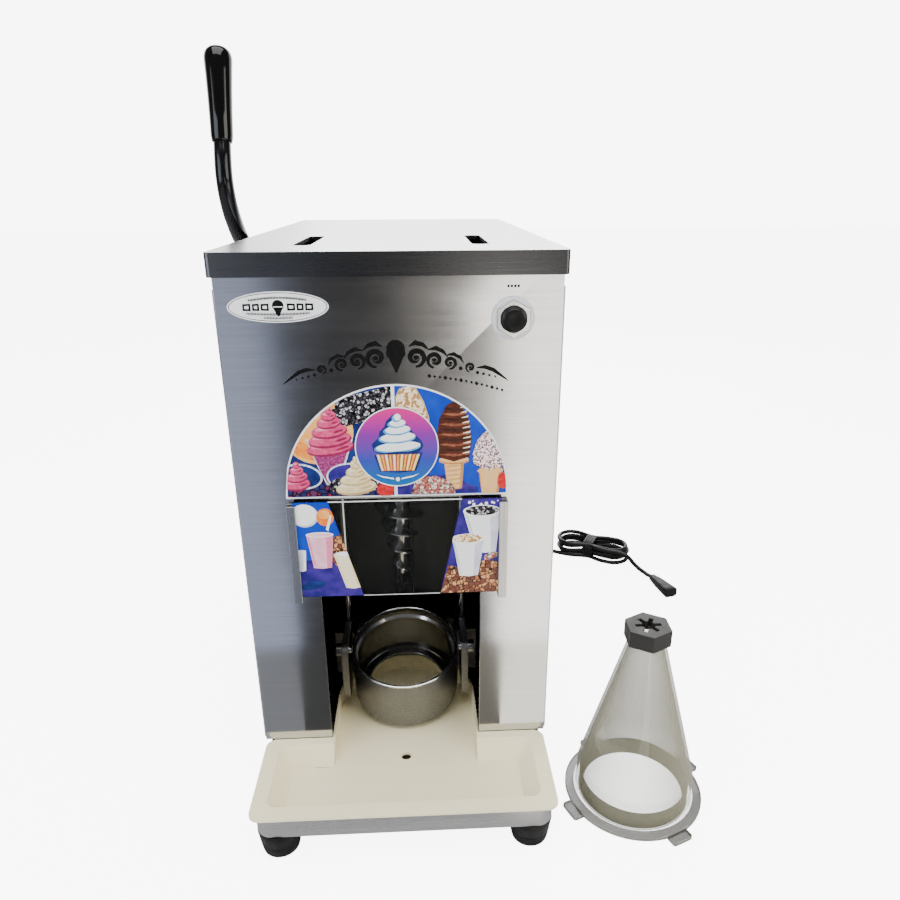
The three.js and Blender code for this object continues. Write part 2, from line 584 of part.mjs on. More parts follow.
function addCord() {
  const { x, z, bootLength } = cordExit;
  const boot = turned([[0, gap], [14, gap], [14, 5], [8.5, 8], [5, bootLength], [0, bootLength]], 16);
  add('cord_gland', boot.rotateX(-Math.PI / 2).translate(x, cabinet.depth, z), 'blackRubber');
  add('cord_lead', tube(leadRoute, cordRadius, 8, 26), 'blackRubber');
  add('cord_tail', tube(tailRoute, cordRadius, 8, 8), 'blackRubber');
  const { halfLength, halfWidth } = hank;
  const bundle = roundedRect(-halfLength, halfLength, -halfWidth, halfWidth, halfWidth);
  const hankSolid = upright(bundle, 0.2, hank.height, 10).rotateZ(hank.angle).translate(hank.x, hank.y, 0);
  add('cord_hank', hankSolid, 'blackRubber');
  const plugPlan = outline([[0, -6], [8, -6.5], [60, -12], [61, -11], [61, 11], [60, 12], [8, 6.5], [0, 6]]);
  const plug = upright(plugPlan, 0.2, 17).rotateZ(Math.atan2(-58, 16.5)).translate(437.7, 452, 0);
  add('cord_plug', plug, 'blackPlastic');
}

addCabinet();
addBase();
addGuard();
addStartButton();
addAugerDrive();
addLever();
addLiftDrive();
addCarriage();
addCone();
addCord();

export default machine;
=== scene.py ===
import math
import random

import bmesh
import bpy
from mathutils import Matrix, Vector


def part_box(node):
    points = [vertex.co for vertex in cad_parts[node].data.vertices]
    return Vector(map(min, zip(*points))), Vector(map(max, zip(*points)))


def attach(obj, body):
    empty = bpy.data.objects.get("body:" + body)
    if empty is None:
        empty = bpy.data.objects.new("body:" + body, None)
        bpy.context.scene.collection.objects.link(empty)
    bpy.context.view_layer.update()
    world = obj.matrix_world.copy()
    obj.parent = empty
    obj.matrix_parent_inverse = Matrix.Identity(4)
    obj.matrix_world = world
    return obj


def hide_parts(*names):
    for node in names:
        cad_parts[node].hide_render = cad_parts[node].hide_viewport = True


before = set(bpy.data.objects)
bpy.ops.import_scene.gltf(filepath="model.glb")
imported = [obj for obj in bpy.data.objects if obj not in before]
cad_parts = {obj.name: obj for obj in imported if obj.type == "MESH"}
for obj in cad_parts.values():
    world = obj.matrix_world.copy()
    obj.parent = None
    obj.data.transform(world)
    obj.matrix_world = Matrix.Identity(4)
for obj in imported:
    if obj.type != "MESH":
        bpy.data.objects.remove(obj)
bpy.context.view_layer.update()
scene = bpy.context.scene


# ---- Camera
# Stands a little above the lid and to the right of the middle, looking down at the front.
# Places in this file are millimetres from the middle of the front panel's face, with the counter at 0.
front_low, front_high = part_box("front_panel")
MM = 0.001


def at(x, y, z):
    return Vector(((front_low.x + front_high.x) / 2 + x * MM, front_low.y + y * MM, z * MM))


camera = bpy.data.objects.new("camera", bpy.data.cameras.new("camera"))
scene.collection.objects.link(camera)
yaw, pitch, roll = (math.radians(angle) for angle in (-2.84, 68.79, -0.25))
camera.matrix_world = (
    Matrix.Translation(at(25.6, -715.9, 672.3))
    @ Matrix.Rotation(yaw, 4, "Z")
    @ Matrix.Rotation(pitch, 4, "X")
    @ Matrix.Rotation(roll, 4, "Z")
)
camera.data.lens = 29.74
camera.data.shift_x = -0.0068
camera.data.shift_y = 0.0256
camera.data.clip_start = 0.01
scene.camera = camera


# ---- Floor and studio light
# A pale seamless floor under broad soft lamps, cool from the left and warm from the right.
# Glowing and black cards over the floor show only in the polished sheets, as bands of light and dark.
def new_material(name):
    material = bpy.data.materials.new(name)
    material.use_nodes = True
    return material, material.node_tree, material.node_tree.nodes["Principled BSDF"]


def feed(tree, node, inputs):
    """Sets a node's inputs, each to a plain value or to the socket that drives it."""
    for label, value in inputs.items():
        if isinstance(value, bpy.types.NodeSocket):
            tree.links.new(value, node.inputs[label])
        else:
            node.inputs[label].default_value = value


def add(tree, kind, inputs=None, **settings):
    """Adds a shader node with its settings and inputs."""
    node = tree.nodes.new("ShaderNode" + kind)
    for name, value in settings.items():
        setattr(node, name, value)
    feed(tree, node, inputs or {})
    return node


def studio_sheet(name, corners, material):
    mesh = bpy.data.meshes.new(name)
    mesh.from_pydata([at(*corner) for corner in corners], [], [(0, 1, 2, 3)])
    mesh.materials.append(material)
    sheet = bpy.data.objects.new(name, mesh)
    scene.collection.objects.link(sheet)
    return sheet


def glow_card(name, corners, colour):
    """A glowing sheet that shows in polished metal and nowhere else."""
    glow, tree, shader = new_material(name)
    feed(tree, shader, {"Base Color": (0, 0, 0, 1), "Emission Color": (*colour, 1), "Emission Strength": 1})
    card = studio_sheet(name, corners, glow)
    card.visible_camera = card.visible_diffuse = card.visible_shadow = card.visible_transmission = False


def brighter_to_the_eye(tree, strength, seen, cast, mirrored):
    """A floor or sky that looks brighter to the viewer than it lights the object or shows in its metal."""
    path = add(tree, "LightPath")
    lit = add(tree, "MapRange", {"Value": path.outputs["Is Glossy Ray"], "To Min": cast, "To Max": mirrored})
    chosen = add(tree, "MapRange", {"Value": path.outputs["Is Camera Ray"],
                                    "To Min": lit.outputs["Result"], "To Max": seen})
    tree.links.new(chosen.outputs["Result"], strength)


FLOOR_REACH = 12000
floor_paint, floor_tree, shader = new_material("pale_floor")
in_metal = add(floor_tree, "LightPath").outputs["Is Glossy Ray"]
floor_tone = add(floor_tree, "MapRange", {"Value": in_metal, "To Min": 0.9, "To Max": 0.4})
feed(floor_tree, shader, {"Base Color": floor_tone.outputs["Result"], "Roughness": 0.9,
                          "Emission Color": (1, 1, 1, 1)})
brighter_to_the_eye(floor_tree, shader.inputs["Emission Strength"], seen=7.0, cast=0.0, mirrored=0.0)
studio_sheet("floor", [(-FLOOR_REACH, -FLOOR_REACH, 0), (FLOOR_REACH, -FLOOR_REACH, 0),
                       (FLOOR_REACH, FLOOR_REACH, 0), (-FLOOR_REACH, FLOOR_REACH, 0)], floor_paint)

# Each card spans two columns of the front panel, as seen from the camera, and runs away in front of it.
# The four near ones hang just over the tray and show in the two narrow sheets beside the bay.
EYE_X, EYE_Y = 25.6, 715.9
FAR_CARD, NEAR_CARD = (0.25, 15, 1.5), (0.01, 0.25, 66)
for label, column_low, column_high, (reach_low, reach_high, height), colour in (
    ("cool_card", -215, -114, FAR_CARD, (0.5, 0.56, 0.74)),
    ("dark_card", -114, 30, FAR_CARD, (0.02, 0.02, 0.021)),
    ("grey_card", 30, 98, FAR_CARD, (0.2, 0.19, 0.17)),
    ("warm_card", 106, 215, FAR_CARD, (3.4, 3.2, 2.9)),
    ("near_left_outer", -175, -118, NEAR_CARD, (0.25, 0.26, 0.28)),
    ("near_left_inner", -118, -60, NEAR_CARD, (0.03, 0.03, 0.028)),
    ("near_right_inner", 60, 112, NEAR_CARD, (0.2, 0.18, 0.14)),
    ("near_right_outer", 112, 175, NEAR_CARD, (2.2, 2.1, 1.8)),
):
    glow_card(label, [
        (column + (column - EYE_X) * reach, -EYE_Y * reach, height) for column, reach in (
            (column_low, reach_low), (column_high, reach_low), (column_high, reach_high),
            (column_low, reach_high))
    ], colour)
glow_card("back_wall", [(-7000, 4000, 5), (7000, 4000, 5), (7000, 4000, 4000), (-7000, 4000, 4000)],
          (2.6, 2.6, 2.6))

studio = bpy.data.worlds.new("studio")
studio.use_nodes = True
sky = studio.node_tree.nodes["Background"]
sky.inputs["Color"].default_value = (1, 1, 1, 1)
brighter_to_the_eye(studio.node_tree, sky.inputs["Strength"], seen=8.0, cast=0.5, mirrored=0.14)
scene.world = studio
for label, place, aim, size, power, colour in (
    ("overhead", (0, -300, 2300), (0, 300, 300), 2.0, 66, (1, 1, 1)),
    ("cool_left", (-1500, -1100, 900), (0, 200, 300), 1.3, 24, (0.82, 0.88, 1)),
    ("warm_right", (1600, -900, 1000), (0, 200, 300), 1.2, 24, (1, 0.95, 0.86)),
    ("back", (300, 2100, 1500), (0, 300, 300), 1.6, 22, (1, 1, 1)),
):
    lamp = bpy.data.objects.new(label, bpy.data.lights.new(label, "AREA"))
    lamp.data.size = size
    lamp.data.energy = power
    lamp.data.color = colour
    lamp.location = at(*place)
    lamp.rotation_euler = (at(*aim) - at(*place)).to_track_quat("-Z", "Y").to_euler()
    scene.collection.objects.link(lamp)


# ---- Mains cord
# Black PVC flex, 7.4 mm thick: out of its boot at the back, down to the counter, round the rear corner,
# then wound in four long turns with a tie round them, and out again to a moulded connector.
def group_of(name, sockets_in, sockets_out):
    tree = bpy.data.node_groups.new(name, "ShaderNodeTree")
    for label, kind, value in sockets_in:
        socket = tree.interface.new_socket(label, in_out="INPUT", socket_type=kind)
        if value is not None:
            socket.default_value = value
    for label, kind in sockets_out:
        tree.interface.new_socket(label, in_out="OUTPUT", socket_type=kind)
    return tree, tree.nodes.new("NodeGroupInput"), tree.nodes.new("NodeGroupOutput")


SURFACE = [("Color", "NodeSocketColor"), ("Roughness", "NodeSocketFloat"), ("Height", "NodeSocketFloat")]


def darker_where(tree, colour, mask, share, tone):
    """Multiplies a colour by a darker tone, as far as the mask and its share say."""
    amount = add(tree, "Math", {0: mask, 1: share}, operation="MULTIPLY")
    mixed = add(tree, "Mix", data_type="RGBA", blend_type="MULTIPLY")
    feed(tree, mixed, {"Factor": amount.outputs[0], "A": colour, "B": tone})
    return mixed.outputs["Result"]


def mottle_group():
    """Cloudy patches and a fine surface tooth, for paint, rubber and moulded plastic."""
    tree, given, out = group_of(
        "mottle",
        [("Scale", "NodeSocketFloat", 40.0), ("Low", "NodeSocketFloat", 0.3),
         ("High", "NodeSocketFloat", 0.5),
         ("Color", "NodeSocketColor", (1, 1, 1, 1)), ("Shade", "NodeSocketFloat", 0.15)], SURFACE)
    place = add(tree, "TexCoord").outputs["Object"]
    clouds = add(tree, "TexNoise", {"Vector": place, "Scale": given.outputs["Scale"], "Detail": 5})
    clouds = clouds.outputs["Fac"]
    tooth = add(tree, "TexNoise", {"Vector": place, "Scale": 1800})
    spread = add(tree, "MapRange", {"Value": clouds, "From Min": 0.3, "From Max": 0.7,
                                    "To Min": given.outputs["Low"], "To Max": given.outputs["High"]})
    tone = darker_where(tree, given.outputs["Color"], clouds, given.outputs["Shade"], (0.25, 0.25, 0.25, 1))
    feed(tree, out, {"Color": tone, "Roughness": spread.outputs["Result"], "Height": tooth.outputs["Fac"]})
    return tree


mottle = mottle_group()


def surfaced(name, group_tree, settings, tooth=None, depth=0.0004):
    """A material whose colour, gloss and, if it has a tooth, bump come from a shared group."""
    material, tree, shader = new_material(name)
    group = add(tree, "Group", settings, node_tree=group_tree)
    feed(tree, shader, {"Base Color": group.outputs["Color"], "Roughness": group.outputs["Roughness"]})
    if tooth is not None:
        bump = add(tree, "Bump", {"Strength": tooth, "Distance": depth, "Height": group.outputs["Height"]})
        feed(tree, shader, {"Normal": bump.outputs["Normal"]})
    return material, tree, shader


def moulded(name, colour, low, high, scale=40.0, shade=0.3, tooth=0.05, coat=0.0, gloss=0.25):
    """Paint, rubber or plastic whose gloss and shade drift a little over the surface."""
    material, tree, shader = surfaced(
        name, mottle, {"Scale": scale, "Low": low, "High": high, "Shade": shade, "Color": (*colour, 1)},
        tooth)
    feed(tree, shader, {"Coat Weight": coat, "Specular IOR Level": gloss})
    return material


def make(name, bm, body, *materials, sharp=32.0, replaces=(), slot=None):
    """Turns a bmesh into a piece that rides on a body, shaded smooth but for its sharp edges."""
    bmesh.ops.recalc_face_normals(bm, faces=bm.faces)
    for face in bm.faces:
        face.smooth = True
    for edge in bm.edges:
        edge.smooth = edge.calc_face_angle(0.0) < math.radians(sharp)
    mesh = bpy.data.meshes.new(name)
    bm.to_mesh(mesh)
    bm.free()
    for material in materials:
        mesh.materials.append(material)
    piece = bpy.data.objects.new(name, mesh)
    scene.collection.objects.link(piece)
    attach(piece, body)
    if replaces:
        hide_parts(*replaces)
    return piece


def ring_of_points(bm, points):
    return [bm.verts.new(point) for point in points]


def skin(bm, rings, closed=True, cap=True):
    """Joins rings of equal length into a tube, with a flat cap on each end."""
    for lower, upper in zip(rings, rings[1:]):
        count = len(lower)
        for i in range(count if closed else count - 1):
            j = (i + 1) % count
            bm.faces.new((lower[i], lower[j], upper[j], upper[i]))
    if cap:
        bm.faces.new(list(reversed(rings[0])))
        bm.faces.new(rings[-1])


cord_pvc = moulded("black_flex_pvc", (0.004, 0.004, 0.004), 0.28, 0.42, 60)
moulded_plug = moulded("black_moulded_pvc", (0.005, 0.005, 0.005), 0.32, 0.5, 90, tooth=0.15)

CORD_RADIUS = 3.7
REAR_FACE = 656
CORD_X, CORD_Z = 130, 100
CORD_EXIT = (CORD_X, 690.3, CORD_Z)
lead_route = [
    CORD_EXIT, (130, 703, 99), (133, 716, 88), (138, 724, 65), (146, 728, 38), (160, 727, 14),
    (180, 720, 5.6), (205, 705, 4.3), (228, 683, 4.2), (241, 655, 4.2), (245, 628, 4.2), (251, 603, 4.2),
    (262, 585, 4.2), (282.5, 569.2, 4.2),
]
tail_route = [
    (396.5, 507.8, 27.2), (406, 502.3, 23.5), (416, 495.5, 13), (425, 487, 6), (431.5, 476, 4.2),
    (435, 464.5, 5.2), (437.4, 453, 8.5),
]
hank_middle = Vector((354, 564.5, 0))
HANK_ANGLE = -0.4943
hank_turn = Matrix.Rotation(HANK_ANGLE, 3, "Z")
CORD_ON_COUNTER, CORD_LAYER = 4.2, 7.6
HANK_STRAIGHT = 38.5
HANK_OUTER, HANK_INNER = 30.0, 22.3
HANK_TURNS, HANK_STEPS, HANK_CLIMB = 4, 20, 0.28
PINCH_AT, PINCH_DEPTH, PINCH_LENGTH = -4.0, 0.3, 20


def hank_point(turn):
    """A point on the winding: in and out by one cord each turn, each turn lying on the last."""
    wound = min(max(turn, 0), HANK_TURNS)
    swing = 1 - abs(1 - wound % 2)
    radius = HANK_OUTER - (HANK_OUTER - HANK_INNER) * swing
    layer = min(HANK_TURNS - 1, math.floor(wound + HANK_CLIMB / 2))
    climb = min(1.0, (wound - layer + HANK_CLIMB / 2) / HANK_CLIMB) if layer else 0.0
    height = CORD_ON_COUNTER + CORD_LAYER * (max(layer - 1, 0) + math.sin(climb * math.pi / 2))
    arc = math.pi * radius
    distance = (turn % 1.0) * (4 * HANK_STRAIGHT + 2 * arc)
    if distance < HANK_STRAIGHT:
        spot = Vector((distance, -radius, height))
    elif distance < HANK_STRAIGHT + arc:
        angle = (distance - HANK_STRAIGHT) / radius
        spot = Vector((HANK_STRAIGHT + radius * math.sin(angle), -radius * math.cos(angle), height))
    elif distance < 3 * HANK_STRAIGHT + arc:
        spot = Vector((2 * HANK_STRAIGHT + arc - distance, radius, height))
    elif distance < 3 * HANK_STRAIGHT + 2 * arc:
        angle = (distance - 3 * HANK_STRAIGHT - arc) / radius
        spot = Vector((-HANK_STRAIGHT - radius * math.sin(angle), radius * math.cos(angle), height))
    else:
        spot = Vector((distance - 4 * HANK_STRAIGHT - 2 * arc, -radius, height))
    spot.y *= 1 - PINCH_DEPTH * math.exp(-(((spot.x - PINCH_AT) / PINCH_LENGTH) ** 2))
    return tuple(hank_middle + hank_turn @ spot)


winding = [hank_point(step / HANK_STEPS) for step in range(-2, HANK_TURNS * HANK_STEPS + 3)]


def spline_piece(name, route, radius, material, body, replaces):
    curve = bpy.data.curves.new(name, "CURVE")
    curve.dimensions = "3D"
    curve.bevel_depth = radius * MM
    curve.bevel_resolution = 5
    curve.resolution_u = 6
    curve.use_fill_caps = True
    spline = curve.splines.new("BEZIER")
    spline.bezier_points.add(len(route) - 1)
    for point, place in zip(spline.bezier_points, route):
        point.co = at(*place)
        point.handle_left_type = point.handle_right_type = "AUTO"
    curve.materials.append(material)
    piece = bpy.data.objects.new(name, curve)
    scene.collection.objects.link(piece)
    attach(piece, body)
    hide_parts(*replaces)
    return piece


flex = spline_piece("mains_flex", lead_route + winding + tail_route, CORD_RADIUS, cord_pvc, "cabinet",
                    ("cord_lead", "cord_hank", "cord_tail"))

boot_mesh = bmesh.new()
boot_profile = [(0, 0.4), (13, 0.4), (14, 1.4), (14, 4), (13, 5), (9.5, 5.6), (8.8, 8)]
for rib in range(5):
    y = 9.5 + 4.6 * rib
    thick = 8.2 - 0.62 * rib
    boot_profile += [(thick, y), (thick, y + 2.6), (thick - 1.1, y + 3.1), (thick - 1.1, y + 4.2)]
boot_profile += [(5.1, 32.5), (4.6, 33.9), (0, 33.9)]


def turned(bm, profile, place, axis="Z", segments=72, start=0.0):
    """Adds a turned solid: [radius, height] pairs spun about an axis through place."""
    turn = {"X": Matrix(((0, 0, 1), (1, 0, 0), (0, 1, 0))), "Y": Matrix(((1, 0, 0), (0, 0, 1), (0, -1, 0))),
            "Z": Matrix.Identity(3)}[axis]
    rings = []
    for radius, height in profile:
        count = 1 if radius < 1e-6 else segments
        ring = []
        for i in range(count):
            angle = start + 2 * math.pi * i / segments
            spot = turn @ Vector((radius * math.cos(angle), radius * math.sin(angle), height))
            ring.append(bm.verts.new(at(*(Vector(place) + spot))))
        rings.append(ring)
    closed = profile[0] == profile[-1]
    if closed:
        bmesh.ops.delete(bm, geom=rings.pop(), context="VERTS")
        rings.append(rings[0])
    for lower, upper in zip(rings, rings[1:]):
        for i in range(segments):
            j = (i + 1) % segments
            if len(lower) == 1 and len(upper) == 1:
                break
            if len(lower) == 1:
                bm.faces.new((lower[0], upper[j], upper[i]))
            elif len(upper) == 1:
                bm.faces.new((lower[i], lower[j], upper[0]))
            else:
                bm.faces.new((lower[i], lower[j], upper[j], upper[i]))
    return bm


boot = make("cord_boot", turned(boot_mesh, boot_profile, (CORD_X, REAR_FACE, CORD_Z), "Y", 40), "cabinet",
            moulded_plug,
            replaces=("cord_gland",), slot="black_rubber")


def squared(part, power):
    """Turns a sine or cosine into one for a rounded square; the lower the power, the squarer."""
    return math.copysign(abs(part) ** power, part)


connector_mesh = bmesh.new()
connector_start = Vector((437.7, 452, 0))
connector_turn = Matrix.Rotation(math.atan2(-58, 16.5), 3, "Z")
connector_sections = [(0, 5.0, 4.3), (0.8, 6.0, 5.2), (6, 6.2, 5.4), (9, 6.6, 5.8), (14, 7.6, 6.6),
                      (30, 9.2, 7.6),
                      (50, 11.2, 8.3), (59.5, 11.9, 8.4), (60.6, 11.4, 7.9)]
connector_rings = []
CONNECTOR_HEIGHT, CONNECTOR_SIDES, CONNECTOR_POWER = 8.6, 32, 0.45
for along, half_width, half_height in connector_sections:
    ring = []
    for i in range(CONNECTOR_SIDES):
        angle = 2 * math.pi * (i + 0.5) / CONNECTOR_SIDES
        across = half_width * squared(math.cos(angle), CONNECTOR_POWER)
        rise = CONNECTOR_HEIGHT + half_height * squared(math.sin(angle), CONNECTOR_POWER)
        ring.append(at(*(connector_start + connector_turn @ Vector((along, across, rise)))))
    connector_rings.append(ring_of_points(connector_mesh, ring))
skin(connector_mesh, connector_rings)
connector = make("cord_connector", connector_mesh, "cabinet", moulded_plug, sharp=45, replaces=("cord_plug",),
                 slot="black_plastic")

tie_mesh = bmesh.new()
tie_loops = []
tie_turns, tie_steps, TIE_CORNERS = 4, 28, 8
TIE_HALF_WIDTH, TIE_MIDDLE, TIE_HALF_HEIGHT, TIE_POWER = 25.5, 17.6, 13.6, 0.6
TIE_PITCH, TIE_BAND, TIE_THICKNESS = 4.8, 2.5, 1.7
for step in range(tie_turns * tie_steps + 1):
    angle = 2 * math.pi * step / tie_steps
    lean = TIE_PITCH * (step / tie_steps - tie_turns / 2) + PINCH_AT
    across, rise = math.cos(angle), math.sin(angle)
    rim = Vector((lean, TIE_HALF_WIDTH * squared(across, TIE_POWER),
                  TIE_MIDDLE + TIE_HALF_HEIGHT * squared(rise, TIE_POWER)))
    outward = Vector((0, across, rise)).normalized()
    ring = []
    for corner in range(TIE_CORNERS):
        turn = 2 * math.pi * (corner + 0.5) / TIE_CORNERS
        edge = Vector((TIE_BAND * math.cos(turn), 0, 0)) + outward * TIE_THICKNESS * math.sin(turn)
        ring.append(at(*(hank_middle + hank_turn @ (rim + edge))))
    tie_loops.append(ring_of_points(tie_mesh, ring))
skin(tie_mesh, tie_loops)
tie = make("cord_tie", tie_mesh, "cabinet", moulded_plug, slot="black_rubber")


# ---- Cabinet sheets
# Folded 2 mm stainless sheet with a brushed grain, bolted to an inner frame.
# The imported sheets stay; their edges get a small rounded break and their faces a grain with light wear.
def grain_group():
    """Fine parallel scratches stretched along one direction, cloudy gloss, and faint wipe marks."""
    tree, given, out = group_of(
        "grain",
        [("Stretch", "NodeSocketVector", (8.0, 400.0, 700.0)),
         ("Color", "NodeSocketColor", (0.6, 0.6, 0.6, 1)),
         ("Low", "NodeSocketFloat", 0.25), ("High", "NodeSocketFloat", 0.42),
         ("Shade", "NodeSocketFloat", 0.25)],
        SURFACE)
    place = add(tree, "TexCoord").outputs["Object"]
    stretch = add(tree, "VectorMath", {0: place, 1: given.outputs["Stretch"]}, operation="MULTIPLY")
    lines = add(tree, "TexNoise", {"Vector": stretch.outputs[0], "Scale": 1.0, "Detail": 4, "Roughness": 0.65})
    lines = lines.outputs["Fac"]
    wipes = add(tree, "TexNoise", {"Vector": place, "Scale": 9, "Detail": 6, "Distortion": 0.6})
    both = add(tree, "Math", {0: lines, 1: wipes.outputs["Fac"]}, operation="ADD")
    spread = add(tree, "MapRange", {"Value": both.outputs[0], "From Min": 0.7, "From Max": 1.3,
                                    "To Min": given.outputs["Low"], "To Max": given.outputs["High"]})
    tone = darker_where(tree, given.outputs["Color"], lines, given.outputs["Shade"], (0.35, 0.35, 0.36, 1))
    feed(tree, out, {"Color": tone, "Roughness": spread.outputs["Result"], "Height": lines})
    return tree


grain = grain_group()
ALONG_X, ALONG_Y, ALONG_Z = (7, 420, 420), (420, 7, 420), (420, 420, 7)


def brushed(name, colour, stretch, low=0.25, high=0.42, shade=0.3, tooth=0.12):
    """Bare metal with a directional grain."""
    material, tree, shader = surfaced(
        name, grain, {"Stretch": stretch, "Color": (*colour, 1), "Low": low, "High": high, "Shade": shade},
        tooth, 0.0003)
    feed(tree, shader, {"Metallic": 1})
    return material


smooth_tree = bpy.data.node_groups.new("smooth_between_edges", "GeometryNodeTree")
smooth_tree.interface.new_socket("Geometry", in_out="INPUT", socket_type="NodeSocketGeometry")
smooth_tree.interface.new_socket("Geometry", in_out="OUTPUT", socket_type="NodeSocketGeometry")
smooth_in = smooth_tree.nodes.new("NodeGroupInput")
smooth_out = smooth_tree.nodes.new("NodeGroupOutput")
smooth_faces = smooth_tree.nodes.new("GeometryNodeSetShadeSmooth")
smooth_edges = smooth_tree.nodes.new("GeometryNodeSetShadeSmooth")
smooth_edges.domain = "EDGE"
smooth_edges.inputs["Shade Smooth"].default_value = False
edge_angle = smooth_tree.nodes.new("GeometryNodeInputMeshEdgeAngle")
is_sharp = smooth_tree.nodes.new("FunctionNodeCompare")
is_sharp.inputs["B"].default_value = math.radians(32)
smooth_tree.links.new(smooth_in.outputs[0], smooth_faces.inputs["Geometry"])
smooth_tree.links.new(smooth_faces.outputs[0], smooth_edges.inputs["Geometry"])
smooth_tree.links.new(edge_angle.outputs["Unsigned Angle"], is_sharp.inputs["A"])
smooth_tree.links.new(is_sharp.outputs["Result"], smooth_edges.inputs["Selection"])
smooth_tree.links.new(smooth_edges.outputs[0], smooth_out.inputs[0])


def finish_node(name, material, edge=0.5, segments=2):
    """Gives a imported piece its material, smooth curves and a small rounded break on its edges."""
    node = bpy.data.objects[name]
    node.data.materials.clear()
    node.data.materials.append(material)
    weld = node.modifiers.new("weld", "WELD")
    weld.merge_threshold = 2e-5
    smooth = node.modifiers.new("smooth", "NODES")
    smooth.node_group = smooth_tree
    if edge:
        bevel = node.modifiers.new("edge", "BEVEL")
        bevel.width = edge * MM
        bevel.segments = segments
        bevel.limit_method = "ANGLE"
        bevel.angle_limit = math.radians(38)
        bevel.harden_normals = True
    return node


front_steel = brushed("brushed_front", (0.64, 0.64, 0.65), ALONG_X, 0.12, 0.19, 0.16, 0.03)
side_steel = brushed("brushed_side", (0.6, 0.6, 0.61), ALONG_Z, 0.26, 0.42, 0.3, 0.1)
rear_steel = brushed("brushed_rear", (0.55, 0.55, 0.56), ALONG_X, 0.3, 0.46, 0.3, 0.1)
frame_steel = brushed("frame_steel", (0.42, 0.42, 0.43), ALONG_Z, 0.3, 0.45, 0.35, 0.1)
finish_node("front_panel", front_steel, 0.7)
for side in ("left", "right"):
    finish_node(f"{side}_side_panel", side_steel, 0.6)
    finish_node(f"{side}_frame_side", frame_steel, 0.4)
finish_node("rear_panel", rear_steel, 0.5)
finish_node("top_deck", brushed("deck_galvanised", (0.5, 0.51, 0.52), ALONG_X, 0.4, 0.6, 0.5), 0.4)

# pan-head screws hold the side panels and the rear panel
screw_steel = brushed("screw_steel", (0.5, 0.5, 0.5), (300, 300, 300), 0.22, 0.4, 0.4)
SCREW_PROFILE = [(0, -0.4), (4.2, -0.4), (4.3, 0.3), (3.9, 1.3), (2.9, 2.0), (1.2, 2.2), (1.2, 1.0), (0, 1.0)]


def pan_head(bm, place, axis, outward):
    """A pan-head screw with a recessed socket, its head facing outward along the axis."""
    profile = [(radius, height * outward) for radius, height in SCREW_PROFILE]
    turned(bm, profile, place, axis, 20)


screws = bmesh.new()
SIDE_FACE = 167.3
for side in (-1, 1):
    for y in (22, 330, 636):
        for z in (80, 320, 566):
            if not (side < 0 and y == 330 and z == 566):  # the lever's shaft comes through here
                pan_head(screws, (side * SIDE_FACE, y, z), "X", side)
for x in (-150, 150):
    for z in (74, 230, 390, 590):
        pan_head(screws, (x, REAR_FACE, z), "Y", 1)
make("cabinet_screws", screws, "cabinet", screw_steel, slot="polished_steel")

# a blank data plate on the rear panel, held by four rivets
plate_alloy = brushed("data_plate_alloy", (0.7, 0.7, 0.7), ALONG_X, 0.3, 0.42, 0.2)
plate_mesh = bmesh.new()
plate_outline = []
PLATE_CORNER = 4
for cx, cz, first in ((-54, 322, 0), (-126, 322, 1), (-126, 278, 2), (-54, 278, 3)):
    for step in range(7):
        angle = math.pi / 2 * (first + step / 6)
        plate_outline.append((cx + PLATE_CORNER * math.cos(angle), cz + PLATE_CORNER * math.sin(angle)))
skin(plate_mesh, [ring_of_points(plate_mesh, [at(x, y, z) for x, z in plate_outline])
                  for y in (REAR_FACE - 0.1, REAR_FACE + 0.9)])
for x in (-124, -56):
    for z in (280, 320):
        turned(plate_mesh, [(0, 0.8), (2.4, 0.8), (2.2, 1.5), (1.2, 2.1), (0, 2.2)], (x, REAR_FACE, z), "Y",
               16)
make("data_plate", plate_mesh, "cabinet", plate_alloy, slot="stainless")

# pressed hoods over the rear air slots, open downwards
hoods = bmesh.new()
HOOD_SECTION = [(0.0, 7.5), (0.55, 6.6), (0.9, 4.2), (1.0, 0.6), (0.86, 0.6), (0.76, 3.8), (0.45, 5.8),
                (0.0, 6.6)]
HOOD_LEFT, HOOD_STEP, HOOD_STEPS, HOOD_DEPTH = -72, 6, 24, 5.2
for z in range(400, 513, 16):
    loops = []
    for along in range(HOOD_STEPS + 1):
        swell = HOOD_DEPTH * math.sin(math.pi * min(1, min(along, HOOD_STEPS - along) / 3) / 2)
        loops.append(ring_of_points(hoods, [
            at(HOOD_LEFT + HOOD_STEP * along, REAR_FACE - 0.1 + swell * share, z + rise) for share,
            rise in HOOD_SECTION]))
    skin(hoods, loops)
make("rear_hoods", hoods, "cabinet", rear_steel, sharp=50, slot="stainless")


# ---- Lid
# One folded stainless cover with a turned-down edge and two hand slots, resting on the cabinet.
# It is brushed from side to side; its turned-down edges are darker, a painted shade set by which way each face
# turns.
lid_steel = brushed("brushed_lid", (0.8, 0.81, 0.82), ALONG_X, 0.24, 0.34, 0.25, 0.08)
lid_tree = lid_steel.node_tree
# Faces turned away from straight up get a darker tone: painted shade on the turned-down edges.
lid_facing = add(lid_tree, "NewGeometry")
lid_split = add(lid_tree, "SeparateXYZ", {"Vector": lid_facing.outputs["Normal"]})
lid_top = add(lid_tree, "MapRange", {"Value": lid_split.outputs["Z"], "From Min": 0.15, "From Max": 0.5})
lid_edge_painted_shade = add(lid_tree, "Math", {0: 1, 1: lid_top.outputs["Result"]}, operation="SUBTRACT")
lid_shader = lid_tree.nodes["Principled BSDF"]
lid_painted_shade_tone = darker_where(lid_tree, lid_shader.inputs["Base Color"].links[0].from_socket, lid_edge_painted_shade.outputs[0],
                        1,
                        (0.14, 0.14, 0.144, 1))
feed(lid_tree, lid_shader, {"Base Color": lid_painted_shade_tone})
finish_node("lid", lid_steel, 1.1, 3)
